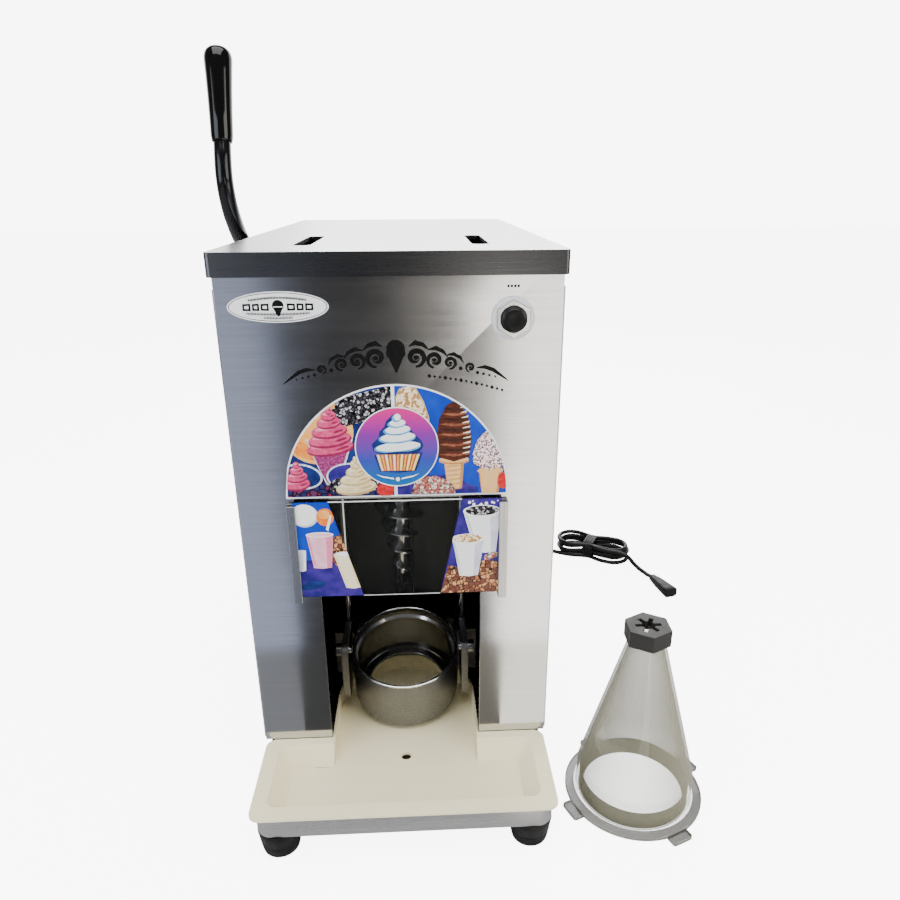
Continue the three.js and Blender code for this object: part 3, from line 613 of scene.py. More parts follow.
# Near-black bands just under the rims of the two hand slots: painted shade in the slot openings.
slot_shade = moulded("slot_edge_painted_shade", (0.01, 0.01, 0.01), 0.5, 0.7, 60)
slot_shade_mesh = bmesh.new()
SLOT_INNER, SLOT_OUTER, SLOT_FRONT, SLOT_BACK = 81.6, 100.4, 70.6, 213.4
for side in (-1, 1):
    x0, x1 = sorted((side * SLOT_INNER, side * SLOT_OUTER))
    loops = [
        ring_of_points(slot_shade_mesh, [at(x0 - grow, SLOT_FRONT - grow, z), at(x1 + grow, SLOT_FRONT - grow, z),
                                at(x1 + grow, SLOT_BACK + grow, z), at(x0 - grow, SLOT_BACK + grow, z)])
        for grow, z in ((0, 611.5), (2.5, 611.5), (2.5, 613.2), (0, 613.2))]
    skin(slot_shade_mesh, loops + [loops[0]], cap=False)
make("lid_slot_painted_shade", slot_shade_mesh, "lid_cover", slot_shade, slot="black_plastic")


# ---- Base pan, feet and base plate
# A deep-drawn stainless pan carries the cabinet and sticks out in front under the tray.
# It stands on four turned rubber feet, each held by a screw and a steel washer.
pan_steel = brushed("pan_steel", (0.58, 0.58, 0.58), ALONG_X, 0.2, 0.34, 0.3)
finish_node("base_pan", pan_steel, 0.8, 3)
finish_node("base_plate", frame_steel, 0.4)
foot_rubber = moulded("foot_rubber", (0.005, 0.005, 0.005), 0.35, 0.6, 70, tooth=0.2)
FOOT_PROFILE = [(0, 6), (5, 6), (5, 1.2), (15.2, 1.2), (15.8, 0), (18.4, 0), (19.4, 0.9), (20.2, 3.5),
                (21.6, 12),
                (21.7, 12.6), (21.4, 13.0), (21.5, 13.5), (21.9, 14), (23.4, 25), (23.9, 27), (23.7, 29.2),
                (22.5, 30.6),
                (0, 30.6)]
for place, x, y in (("front_left", -136, -94), ("front_right", 136, -94), ("rear_left", -136, 625),
                    ("rear_right", 136, 625)):
    foot_mesh = turned(bmesh.new(), FOOT_PROFILE, (x, y, 0), segments=56)
    make(f"foot_{place}", foot_mesh, "cabinet", foot_rubber, replaces=(f"{place}_foot",), slot="black_rubber")


# ---- Drip tray
# One cream plastic moulding with a sloped well and a drain hole, lipped over the front of the pan.
tray_plastic = moulded("cream_moulding", (0.92, 0.84, 0.56), 0.26, 0.4, 30, 0.12, 0.06, 0.15)
finish_node("drip_tray", tray_plastic, 1.6, 4)
drain = bmesh.new()
turned(drain, [(6.0, 38.2), (6.0, 41.9), (7.6, 42.2), (7.9, 41.4), (7.0, 41.2), (7.0, 38.2), (6.0, 38.2)],
       (0, -14, 0), segments=40)
make("drain_collar", drain, "cabinet", tray_plastic, slot="cream_plastic")


# ---- Bay
# Satin steel lines the open bay, coloured near black as painted shade inside it; two polished rods inside
# guide the cup carriage.
bay_painted_shade_steel = brushed("bay_lining_painted_shade", (0.035, 0.035, 0.034), ALONG_Z, 0.28, 0.45, 0.4, 0.08)
for name in ("bay_left_wall", "bay_right_wall", "bay_back_wall", "bay_ceiling"):
    finish_node(name, bay_painted_shade_steel, 0.3)
polished = brushed("polished_rod", (0.6, 0.6, 0.6), (500, 500, 30), 0.1, 0.22, 0.15, 0.03)
for name in ("left_guide_rod", "right_guide_rod", "lever_shaft", "lift_shaft"):
    finish_node(name, polished, 0.3)


# ---- Cup carriage and tilting cup ring
# The carriage is cast aluminium and slides on the rods; the ring hangs in it on two steel pins.
# The ring is machined inside, down to a seat at its foot, and left as cast outside, with a bright top edge and
# a painted highlight on the sloped shoulder just below the rim.
def cast_metal(name, colour, low, high, grainy=900):
    """Sand-cast metal: speckled gloss and small pits."""
    material, tree, shader = surfaced(
        name, mottle, {"Scale": grainy, "Low": low, "High": high, "Shade": 0.8, "Color": (*colour, 1)}, 0.35,
        0.0006)
    feed(tree, shader, {"Metallic": 1})
    return material


cast_alloy = cast_metal("cast_alloy", (0.3, 0.3, 0.31), 0.3, 0.55)
for name in ("left_carriage_arm", "right_carriage_arm", "carriage_crossbar", "lift_arm"):
    finish_node(name, cast_alloy, 1.0, 3)

ring_cast = cast_metal("ring_cast", (0.27, 0.27, 0.28), 0.26, 0.5, 700)
ring_bored = brushed("ring_bored", (0.24, 0.235, 0.22), ALONG_X, 0.14, 0.3, 0.4, 0.1)
# Bright metal for the top edge, also used as a painted highlight on the inner shoulder.
ring_top_and_painted_highlight = brushed("ring_top_and_painted_highlight", (0.75, 0.75, 0.76), ALONG_X, 0.12, 0.24, 0.2, 0.05)
RING_PROFILE = [
    (49, -70), (50, -71), (62.2, -71), (63.4, -70.5), (65.2, -68.6), (66, -66.5), (66, -30), (66, 4.4),
    (65.4, 5.6), (64.6, 6), (63.2, 6), (62.4, 5.5), (62, 4.5), (62, -6), (61.2, -7), (59.4, -9), (59.2, -10),
    (59.2, -65), (58, -66.4), (50, -66.8), (49, -67.6), (49, -70),
]
SPINDLE_Y, PIN_Z, RING_TILT = 76, 131.5, math.radians(15)
ring_mesh = turned(bmesh.new(), RING_PROFILE, (0, SPINDLE_Y, 0), segments=144)
for face in ring_mesh.faces:
    middle = face.calc_center_median()
    out = (middle.xy - at(0, SPINDLE_Y, 0).xy).length / MM
    height = middle.z / MM
    # Material 2 covers the bright top edge and, below the rim, the sloped shoulder painted bright as a
    # highlight.
    face.material_index = 2 if (height > 4 or -9.5 < height < -6.5 and out < 62) else 0 if out > 63.2 else 1
ring_tilt = (Matrix.Translation(at(0, SPINDLE_Y, PIN_Z)) @ Matrix.Rotation(RING_TILT, 4, "X")
             @ Matrix.Translation(-at(0, SPINDLE_Y, 0)))
bmesh.ops.transform(ring_mesh, matrix=ring_tilt, verts=ring_mesh.verts)
make("cup_ring_machined", ring_mesh, "holder", ring_cast, ring_bored, ring_top_and_painted_highlight, sharp=28,
     replaces=("cup_ring",), slot="polished_steel")
for name in ("left_pivot_pin", "right_pivot_pin"):
    finish_node(name, polished, 0.8, 3)


# ---- Auger and spindle
# A cast and tumbled aluminium screw with six turns of flight, narrow at the tip, on a long steel shaft.
auger_alloy = brushed("auger_alloy", (0.62, 0.62, 0.63), (60, 60, 200), 0.12, 0.28, 0.4, 0.2)
auger_mesh = bmesh.new()
turned(auger_mesh, [(0, 236.5), (2.2, 237.2), (4, 240.5), (14, 366), (15.4, 384), (16, 388), (15, 392),
                    (12, 396),
                    (12, 590), (0, 590)], (0, SPINDLE_Y, 0), segments=56)
flight_rings = []
TIP_Z, FLIGHT_TURNS, FLIGHT_START, FLIGHT_LENGTH = 236.5, 6, 6, 147.5
FLIGHT_STEPS = 56 * FLIGHT_TURNS
for step in range(FLIGHT_STEPS + 1):
    along = step / FLIGHT_STEPS
    rise = FLIGHT_START + along * FLIGHT_LENGTH
    root, tip = 2.5 + 0.05 * rise, 7 + 0.25 * rise
    angle = -2 * math.pi * FLIGHT_TURNS * along
    ring = []
    for share, drop in ((0, 2.5), (0.55, 1.7), (0.93, 1.25), (1.0, 0.55), (1.0, -0.55), (0.93, -1.25),
                        (0.55, -1.7),
                        (0, -2.5)):
        radius = root + (tip - root) * share
        ring.append(at(radius * math.cos(angle), SPINDLE_Y + radius * math.sin(angle), TIP_Z + rise + drop))
    flight_rings.append(ring_of_points(auger_mesh, ring))
skin(auger_mesh, flight_rings)
make("auger_screw", auger_mesh, "auger_spindle", auger_alloy, sharp=35, replaces=("auger",),
     slot="cast_aluminium")
for name in ("spindle_housing", "driven_pulley", "drive_pulley", "lift_pulley", "idler_pulley", "shaft_bush"):
    finish_node(name, cast_alloy, 0.6)
finish_node("sector_gear", brushed("gear_steel", (0.4, 0.4, 0.4), ALONG_Y, 0.25, 0.4), 0.4)
finish_node("drive_bracket", brushed("galvanised_bracket", (0.5, 0.51, 0.52), ALONG_Z, 0.35, 0.55, 0.5), 0.5)
belt_rubber = moulded("belt_rubber", (0.02, 0.02, 0.021), 0.5, 0.75, 200, tooth=0.3)
finish_node("lift_belt", belt_rubber, 0.3)
finish_node("drive_belt", belt_rubber, 0.3)
motor_paint = moulded("motor_enamel", (0.05, 0.052, 0.055), 0.3, 0.5, 50, tooth=0.2)
finish_node("motor", motor_paint, 1.5, 3)
finish_node("switch_body", moulded("switch_moulding", (0.02, 0.02, 0.02), 0.35, 0.55, 90), 0.5)


# ---- Cone
# A clear smoky plastic serving cone with four bayonet lugs, a black seal inside its skirt
# and a dark hexagonal cap with a star-shaped outlet.
def clear_plastic(name, colour, middle, rim):
    """Thin clear moulding: nearly invisible face on, grey and glossy where it turns away."""
    material, tree, shader = surfaced(
        name, mottle, {"Scale": 35, "Low": 0.03, "High": 0.12, "Shade": 0.25, "Color": (*colour, 1)})
    turned_away = add(tree, "LayerWeight", {"Blend": 0.35})
    density = add(tree, "MapRange", {"Value": turned_away.outputs["Facing"], "To Min": middle, "To Max": rim})
    feed(tree, shader, {"Alpha": density.outputs["Result"]})
    return material


smoke = clear_plastic("smoky_polycarbonate", (0.3, 0.285, 0.2), 0.42, 0.97)
skirt = clear_plastic("smoky_polycarbonate_skirt", (0.07, 0.068, 0.056), 0.94, 0.99)
CONE_X, CONE_Y = 267.6, -35.3
cone_mesh = bmesh.new()
turned(cone_mesh, [
    (62.5, 0.8), (63.2, 0), (78.2, 0), (79, 0.8), (79, 4.2), (78.2, 5), (69, 5.2), (67, 6), (66, 8), (66, 36),
    (65, 39.6), (21.2, 203.5), (20.7, 206), (20.7, 215.2), (20.2, 215.7), (18.2, 215.7), (17.7, 215.2),
    (17.7, 205.4),
    (18, 203.4), (61.6, 40), (62.5, 36), (62.5, 0.8)], (CONE_X, CONE_Y, 0), segments=120)
FIRST_LUG, FLANGE_TOP = 0.4, 5.4
for quarter in range(4):
    spoke = Matrix.Rotation(FIRST_LUG + quarter * math.pi / 2, 3, "Z")
    lug_rings = []
    for z, shrink in ((0.0, 0.6), (0.6, 0.0), (4.4, 0.0), (5.0, 0.6)):
        plan = [(78.6, -13 + shrink), (88 - shrink, -13 + shrink), (90 - shrink, -11), (90.3 - shrink, 0),
                (90 - shrink, 11), (88 - shrink, 13 - shrink), (78.6, 13 - shrink)]
        places = [Vector((CONE_X, CONE_Y, z)) + spoke @ Vector((x, y, 0)) for x, y in plan]
        lug_rings.append(ring_of_points(cone_mesh, [at(*place) for place in places]))
    skin(cone_mesh, lug_rings)
for face in cone_mesh.faces:
    face.material_index = 1 if face.calc_center_median().z < FLANGE_TOP * MM else 0
make("cone_shell", cone_mesh, "hopper", smoke, skirt, replaces=("hopper_cone",), slot="smoke_plastic")
seal_rubber = moulded("seal_rubber", (0.005, 0.005, 0.006), 0.3, 0.5, 60, tooth=0.1)
seal_mesh = turned(bmesh.new(), [
    (57.4, 1.2), (61.9, 1), (62.1, 1.4), (61.8, 4), (62.1, 5), (62.1, 20.6), (61.6, 21), (59.6, 21),
    (59.2, 20.4),
    (58.4, 8), (57.4, 1.2)], (CONE_X, CONE_Y, 0), segments=120)
make("seal_lip", seal_mesh, "hopper", seal_rubber, replaces=("cone_seal",), slot="black_rubber")
cap_paint = moulded("cap_gunmetal", (0.028, 0.027, 0.025), 0.3, 0.45, 60, 0.4, 0.12)
finish_node("nozzle_cap", cap_paint, 0.7, 3)


# ---- Splash guard and rails
# A clear acrylic sheet slides up in two folded stainless rails; its two corners carry printed film.
# The clear part between them narrows downwards.
scuffs = {"Scale": 120, "Low": 0.0, "High": 0.06, "Shade": 0.06, "Color": (0.85, 0.87, 0.85, 1)}
acrylic, acrylic_tree, shader = surfaced("clear_acrylic", mottle, scuffs)
feed(acrylic_tree, shader, {"IOR": 1.3, "Transmission Weight": 1})
finish_node("splash_guard", acrylic, 0.3)
rail_steel = brushed("rail_steel", (0.55, 0.55, 0.55), ALONG_Z, 0.2, 0.34, 0.3)
for name in ("left_rail", "right_rail"):
    finish_node(name, rail_steel, 0.5)


def ink(name, colour, other=None, scale=260, gloss=0.3):
    """Printed film: one colour drifting into another in soft patches, under a clear gloss."""
    material, tree, shader = new_material(name)
    other = other or tuple(min(1, 0.8 * part + 0.02) for part in colour)
    place = add(tree, "TexCoord").outputs["Object"]
    patches = add(tree, "TexNoise", {"Vector": place, "Scale": scale, "Detail": 4}).outputs["Fac"]
    ramp = add(tree, "ValToRGB", {"Fac": patches})
    for stop, position, tint in zip(ramp.color_ramp.elements, (0.4, 0.62), (colour, other)):
        stop.position, stop.color = position, (*tint, 1)
    sheen = add(tree, "MapRange", {"Value": patches, "To Min": gloss, "To Max": gloss + 0.15})
    feed(tree, shader, {"Base Color": ramp.outputs["Color"], "Roughness": sheen.outputs["Result"],
                        "Specular IOR Level": 0.2})
    return material


def pieces_group():
    """Small loose bits, each with its own shade between three colours, with dark gaps between them."""
    tree, given, out = group_of(
        "loose_bits",
        [("Scale", "NodeSocketFloat", 300.0), ("First", "NodeSocketColor", (1, 1, 1, 1)),
         ("Second", "NodeSocketColor", (0.5, 0.5, 0.5, 1)), ("Third", "NodeSocketColor", (0.1, 0.1, 0.1, 1)),
         ("Gap", "NodeSocketColor", (0.01, 0.01, 0.01, 1)), ("Gap Width", "NodeSocketFloat", 0.08)],
        [("Color", "NodeSocketColor"), ("Height", "NodeSocketFloat")])
    given = given.outputs
    size = {"Vector": add(tree, "TexCoord").outputs["Object"], "Scale": given["Scale"]}
    cells = add(tree, "TexVoronoi", size)
    rims = add(tree, "TexVoronoi", size, feature="DISTANCE_TO_EDGE").outputs["Distance"]
    split = add(tree, "SeparateColor", {"Color": cells.outputs["Color"]})
    some = add(tree, "Math", {0: split.outputs["Green"], 1: 0.6}, operation="GREATER_THAN")
    edge = add(tree, "Math", {0: rims, 1: given["Gap Width"]}, operation="LESS_THAN")
    colour = given["First"]
    for mask, other in ((split.outputs["Red"], "Second"), (some.outputs[0], "Third"),
                        (edge.outputs[0], "Gap")):
        mixed = add(tree, "Mix", data_type="RGBA")
        feed(tree, mixed, {"Factor": mask, "A": colour, "B": given[other]})
        colour = mixed.outputs["Result"]
    feed(tree, out, {"Color": colour, "Height": rims})
    return tree


loose_bits = pieces_group()


def bits(name, scale, first, second, third, gap, gap_width=0.08):
    """Film printed with a heap of berries, nuts or sprinkles."""
    material, tree, shader = new_material(name)
    group = add(tree, "Group", {
        "Scale": scale, "First": (*first, 1), "Second": (*second, 1), "Third": (*third, 1), "Gap": (*gap, 1),
        "Gap Width": gap_width}, node_tree=loose_bits)
    bump = add(tree, "Bump", {"Strength": 0.05, "Distance": 0.0002, "Height": group.outputs["Height"]})
    feed(tree, shader, {"Base Color": group.outputs["Color"], "Normal": bump.outputs["Normal"],
                        "Roughness": 0.35,
                        "Specular IOR Level": 0.2})
    return material


def fade(name, stops, low, high):
    """Film that fades upwards through a row of colours between two heights."""
    material, tree, shader = new_material(name)
    split = add(tree, "SeparateXYZ", {"Vector": add(tree, "TexCoord").outputs["Object"]})
    spread = add(tree, "MapRange", {"Value": split.outputs["Z"], "From Min": low * MM, "From Max": high * MM})
    ramp = add(tree, "ValToRGB", {"Fac": spread.outputs["Result"]})
    for _ in stops[2:]:
        ramp.color_ramp.elements.new(0.5)
    for i, (element, colour) in enumerate(zip(ramp.color_ramp.elements, stops)):
        element.position, element.color = i / (len(stops) - 1), (*colour, 1)
    feed(tree, shader, {"Base Color": ramp.outputs["Color"], "Roughness": 0.3, "Specular IOR Level": 0.2})
    return material


class Print:
    """A print built up from thin closed shapes, each a little prouder than the last, kept inside an edge."""

    def __init__(self, face_y, keep=lambda x, z: (x, z)):
        self.bm, self.inks, self.y, self.keep = bmesh.new(), [], face_y, keep

    def shape(self, outline, film, thickness=0.018):
        if film not in self.inks:
            self.inks.append(film)
        kept = [self.keep(x, z) for x, z in outline]
        self.y -= thickness
        back, front = (ring_of_points(self.bm, [at(x, y, z) for x, z in kept])
                       for y in (self.y + max(thickness, 0.2), self.y))
        known = set(self.bm.faces)
        skin(self.bm, [back, front])
        for face in self.bm.faces:
            if face not in known:
                face.material_index = self.inks.index(film)

    def finish(self, name, body):
        return make(name, self.bm, body, *self.inks, sharp=30, slot="white_label")


def oval(cx, cz, rx, rz=None, lean=0.0, count=40):
    """The outline of an oval, or of a circle where only one radius is given."""
    rz = rx if rz is None else rz
    points = []
    for i in range(count):
        angle = 2 * math.pi * i / count
        x, z = rx * math.cos(angle), rz * math.sin(angle)
        points.append((cx + x * math.cos(lean) - z * math.sin(lean),
                       cz + x * math.sin(lean) + z * math.cos(lean)))
    return points


def taper(cx, top, bottom, half_top, half_bottom, shift=0.0):
    """The outline of a cup or wafer that narrows downwards."""
    return [(cx - half_top, top), (cx - half_top * 0.5, top + 0.6), (cx + half_top * 0.5, top + 0.6),
            (cx + half_top, top), (cx + half_bottom + shift, bottom), (cx + shift, bottom - 1.2),
            (cx - half_bottom + shift, bottom)]


def swirled(card, cx, tiers, light, mid, dark):
    """Soft-serve: leaning tiers piled from the bottom up, each with a shaded underside and a lit brow."""
    for z, half, rise in tiers:
        card.shape(oval(cx, z - 0.18 * rise, half, rise, 0.12), dark)
        card.shape(oval(cx - 0.02 * half, z, half * 0.98, rise * 0.86, 0.14), mid)
        card.shape(oval(cx - 0.2 * half, z + 0.3 * rise, half * 0.62, rise * 0.3, 0.16), light)
        card.shape(oval(cx + 0.5 * half, z - 0.1 * rise, half * 0.3, rise * 0.16, 0.3), dark)


white_ink = ink("white_ink", (0.86, 0.86, 0.86), (0.8, 0.81, 0.83))
navy_ink = ink("navy_ink", (0.004, 0.012, 0.09), (0.011, 0.031, 0.18), 70)
violet_ink = ink("violet_ink", (0.013, 0.007, 0.144), (0.042, 0.016, 0.234), 90)
blue_ink = ink("blue_ink", (0.0, 0.031, 0.378), (0.001, 0.044, 0.45), 40)
cream_light = ink("cream_light", (0.828, 0.751, 0.557), (0.765, 0.65, 0.418))
cream_mid = ink("cream_mid", (0.738, 0.611, 0.36), (0.666, 0.515, 0.273))
cream_dark = ink("cream_dark", (0.45, 0.302, 0.119), (0.54, 0.379, 0.17))
pink_light = ink("pink_light", (0.774, 0.219, 0.353), (0.72, 0.157, 0.283))
pink_mid = ink("pink_mid", (0.54, 0.04, 0.143), (0.63, 0.074, 0.184))
pink_dark = ink("pink_dark", (0.216, 0.006, 0.052), (0.306, 0.014, 0.085))
plum_glass = ink("plum_glass", (0.18, 0.011, 0.086), (0.36, 0.063, 0.215), 500)
peach_ink = ink("peach_ink", (0.855, 0.337, 0.053), (0.855, 0.461, 0.161), 120)
orange_ink = ink("orange_ink", (0.765, 0.153, 0.009), (0.81, 0.296, 0.044), 160)
chocolate_light = ink("chocolate_light", (0.27, 0.089, 0.047), (0.18, 0.048, 0.024))
chocolate_mid = ink("chocolate_mid", (0.09, 0.02, 0.009), (0.054, 0.011, 0.005))
chocolate_dark = ink("chocolate_dark", (0.025, 0.008, 0.006), (0.05, 0.016, 0.01))
wafer_light = ink("wafer_light", (0.702, 0.39, 0.135), (0.765, 0.484, 0.211), 600)
wafer_dark = ink("wafer_dark", (0.45, 0.174, 0.044), (0.558, 0.254, 0.078), 600)
glass_ink = ink("glass_ink", (0.45, 0.5, 0.6), (0.75, 0.78, 0.85), 300)
red_ink = ink("red_ink", (0.45, 0.004, 0.008), (0.585, 0.028, 0.028), 300)
shake_pink = ink("shake_pink", (0.738, 0.36, 0.469), (0.792, 0.477, 0.568), 100)
cup_shade = ink("cup_shade", (0.5, 0.52, 0.62), (0.62, 0.64, 0.72), 100)
black_berries = bits("black_berries", 330, (0.02, 0.02, 0.03), (0.09, 0.08, 0.1), (0.45, 0.43, 0.45),
                     (0, 0, 0), 0.12)
mixed_berries = bits("mixed_berries", 150, (0.03, 0.03, 0.09), (0.3, 0.01, 0.03), (0.02, 0.02, 0.1),
                     (0, 0, 0.01))
chopped_nuts = bits("chopped_nuts", 420, (0.85, 0.66, 0.4), (0.95, 0.85, 0.65), (0.4, 0.18, 0.06),
                    (0.5, 0.3, 0.12), 0.05)
sprinkles = bits("sprinkles", 620, (0.9, 0.85, 0.82), (0.85, 0.35, 0.4), (0.06, 0.02, 0.03), (0.9, 0.8, 0.78),
                 0.05)
whole_nuts = bits("whole_nuts", 210, (0.4, 0.14, 0.05), (0.7, 0.36, 0.16), (0.16, 0.05, 0.03),
                  (0.02, 0.01, 0.01), 0.07)
choc_nuts = bits("choc_nuts", 380, (0.9, 0.8, 0.68), (0.2, 0.08, 0.05), (0.5, 0.12, 0.1), (0.03, 0.01, 0.01),
                 0.06)


# ---- Arched print on the front panel
# A half-round film above the bay: a navy half with frozen yoghurt, a blue half with dipped cones,
# a white line between them and a white edge all round.
ARCH_RADIUS, ARCH_CENTRE, ARCH_FOOT = 115.0, 374.5, 369.5


def keep_in_arch(edge, x_low, x_high):
    def keep(x, z):
        x, z = min(max(x, x_low), x_high), max(z, ARCH_FOOT + edge)
        reach = math.hypot(x, max(z - ARCH_CENTRE, 0))
        limit = ARCH_RADIUS - edge
        if reach > limit:
            x, z = x * limit / reach, ARCH_CENTRE + (z - ARCH_CENTRE) * limit / reach
        return x, z
    return keep


def half_disc(x_low, x_high, edge):
    radius = ARCH_RADIUS - edge
    points = [(x_high, ARCH_FOOT + edge), (x_high, ARCH_CENTRE)]
    for step in range(61):
        x = x_high + (x_low - x_high) * step / 60
        points.append((x, ARCH_CENTRE + math.sqrt(max(radius * radius - x * x, 0))))
    return points + [(x_low, ARCH_CENTRE - 0.5), (x_low, ARCH_FOOT + edge)]


arch_back = Print(0.0)
arch_back.shape(half_disc(-115, 115, 0), white_ink, 0.2)
arch_back.finish("arch_film", "cabinet")

left_art = Print(-0.2, keep_in_arch(1.8, -113.2, -3.2))
left_art.shape(half_disc(-113.2, -3.2, 1.8), navy_ink)
left_art.shape(oval(-78, 442, 36, 35), peach_ink)
left_art.shape(oval(-80, 438, 31, 27), orange_ink)
left_art.shape(oval(-84, 446, 24, 17), peach_ink)
left_art.shape([(-64, 462), (-58, 479), (-50, 488), (-3.2, 488), (-3.2, 448), (-20, 452), (-38, 450),
                (-52, 446)],
               black_berries)
left_art.shape([(-113, 372), (-113, 392), (-98, 398), (-70, 399), (-40, 404), (-3.2, 398), (-3.2, 372)],
               mixed_berries)
left_art.shape(oval(-98, 394, 22, 14, -0.15), glass_ink)
left_art.shape(oval(-98, 394, 20, 12, -0.15), navy_ink)
swirled(left_art, -102, [(386, 13, 7), (394, 11, 6), (401, 7, 5), (407, 3.2, 4)], pink_light, pink_mid,
        pink_dark)
left_art.shape([(-90, 434), (-43, 434), (-50, 412), (-56, 395), (-60, 384), (-72, 384), (-77, 396),
                (-83, 412)],
               glass_ink)
left_art.shape([(-88, 432), (-45, 432), (-52, 412), (-58, 396), (-62, 386), (-71, 386), (-76, 396),
                (-82, 412)],
               plum_glass)
swirled(left_art, -66, [(425, 24, 8), (434, 22, 8), (443, 18, 7.5), (452, 12, 6.5), (459, 7.5, 5.5),
                        (465, 3, 5)],
        pink_light, pink_mid, pink_dark)
left_art.shape(oval(-45, 392, 27, 16, -0.1), glass_ink)
left_art.shape(oval(-45, 392, 25.4, 14.4, -0.1), violet_ink)
left_art.shape(oval(-45, 383, 25, 11), black_berries)
swirled(left_art, -42, [(382, 21, 8), (391, 16, 7), (399, 10, 6), (407, 5, 5.5), (412, 2, 4)], cream_light,
        cream_mid,
        cream_dark)
left_art.shape(oval(-12, 378, 9, 8), red_ink)
left_art.finish("arch_left_art", "cabinet")

right_art = Print(-0.2, keep_in_arch(1.8, 0.2, 113.2))
right_art.shape(half_disc(0.2, 113.2, 1.8), blue_ink)
right_art.shape([(0.2, 372), (0.2, 384), (14, 386), (26, 392), (52, 393), (70, 384), (84, 378), (84, 372)],
                violet_ink)
right_art.shape([(1, 452), (1, 476), (5, 485), (14, 489), (22, 485), (29, 472), (34, 456), (36, 442),
                 (10, 438)],
                cream_dark)
right_art.shape([(2, 452), (2, 476), (6, 485), (14, 488.5), (21, 484), (28, 471), (33, 456), (35, 443),
                 (10, 440)],
                chopped_nuts)
right_art.shape(taper(59, 408, 377, 10.5, 7.6, 0.5), wafer_dark)
right_art.shape(taper(58, 407, 378, 8.5, 6.2, 0.5), wafer_light)
for rung in range(5):
    z = 402 - 5 * rung
    right_art.shape([(51 + 0.5 * rung, z), (67 - 0.4 * rung, z + 1.6), (67 - 0.4 * rung, z + 0.6),
                     (51 + 0.5 * rung, z - 1)],
                    wafer_dark)
right_art.shape(oval(59, 408, 15.5, 4.2), wafer_dark)
right_art.shape(oval(59, 409.4, 15.2, 3.6), wafer_light)
right_art.shape([(43, 412), (41.5, 430), (44, 452), (52, 467), (59, 471), (66, 467), (74, 452), (77, 430),
                 (75, 412),
                 (59, 407)], chocolate_mid)
for rib in range(10):
    z = 414 + 5.4 * rib
    half = 16.5 * math.sin(math.radians(112 - 8.2 * rib)) ** 0.8
    right_art.shape([(59 - half, z + 1), (59, z - 1.6), (59 + half, z + 0.6), (59 + half + 0.8, z + 3.4),
                     (59 + 0.3 * half,
                    z + 1.2), (59 - half * 0.6, z + 1.9)], chocolate_dark if rib % 2 else chocolate_light)
    right_art.shape([(59 + 0.55 * half, z + 1.6), (59 + half, z + 2.4), (59 + half + 0.9, z + 4.4),
                     (59 + 0.6 * half, z + 2.5)], cream_light)
right_art.shape(oval(97, 397, 13, 5), wafer_dark)
right_art.shape(taper(96.5, 395, 371.8, 12, 9), wafer_dark)
right_art.shape(taper(95.5, 394, 371.8, 9.6, 7.4), wafer_light)
right_art.shape(oval(96.5, 396.4, 13.4, 3.4), wafer_light)
right_art.shape([(79, 404), (78, 414), (82, 428), (89, 438), (95, 441), (101, 438), (109, 425), (113, 412),
                 (112, 402),
                 (96, 397)], sprinkles)
right_art.shape(oval(110, 385, 6, 9), red_ink)
right_art.shape([(14, 372), (18, 384), (28, 391), (40, 392), (54, 386), (60, 377), (60, 372)], choc_nuts)
right_art.finish("arch_right_art", "cabinet")


# ---- Round badge
# A domed round film over the middle of the arch: a white swirl in a striped paper case.
badge_fade = fade("badge_fade", [(0.0, 0.12, 0.36), (0.03, 0.05, 0.36), (0.2, 0.02, 0.3), (0.6, 0.01, 0.2)],
                  384, 464)
swirl_blue = ink("swirl_blue", (0.04, 0.247, 0.54), (0.102, 0.387, 0.63), 200)
case_yellow = ink("case_yellow", (0.855, 0.461, 0.024), (0.855, 0.572, 0.103), 300)
case_orange = ink("case_orange", (0.72, 0.133, 0.006), (0.765, 0.211, 0.016), 300)
BADGE_X, BADGE_Z = 1, 424
badge = Print(-1.3)
badge.shape(oval(BADGE_X, BADGE_Z, 42.5, count=96), white_ink, 0.25)
badge.shape(oval(BADGE_X, BADGE_Z, 41.4, count=96), badge_fade)
badge.shape([(-23, 421), (-24, 428), (-17, 435), (-16, 441), (-11, 446), (-9, 452), (-2, 459), (2, 459.5),
             (8, 452),
             (14, 445), (19, 438), (26, 431), (28, 425), (24, 419), (4, 416), (-16, 417)], navy_ink)
for z, half, rise in ((425, 22.5, 5.6), (435, 17.5, 5.6), (443, 12.5, 5.0), (450, 8, 4.2), (456, 3.4, 4.0)):
    badge.shape(oval(1.5, z - 1.2, half + 1.2, rise, 0.06), swirl_blue)
    badge.shape(oval(2.4, z, half, rise * 0.88, 0.08), white_ink)
badge.shape([(-22, 416), (-10, 418.5), (4, 419.5), (18, 419), (27, 418), (20, 398.5), (1, 396.5),
             (-17, 398.5)], navy_ink)
for stripe in range(11):
    top, foot = -20 + 4.1 * stripe, -15.5 + 3.1 * stripe
    badge.shape([(top, 416.5), (top + 3.2, 416.8), (foot + 2.5, 399), (foot, 399)],
                case_orange if stripe % 2 else case_yellow)
    badge.shape([(top + 1, 416), (top + 2.0, 416.2), (foot + 1.5, 400), (foot + 0.9, 400)],
                case_yellow if stripe % 2 else white_ink)
for side in (-1, 1):
    ribbon = ((4, 391), (16, 393.4), (22, 395.4), (16, 392), (4, 389.4))
    badge.shape([(BADGE_X + side * reach, z) for reach, z in ribbon], white_ink)
badge.shape(oval(BADGE_X, 389.6, 2.2), white_ink)
badge.finish("round_badge", "cabinet")


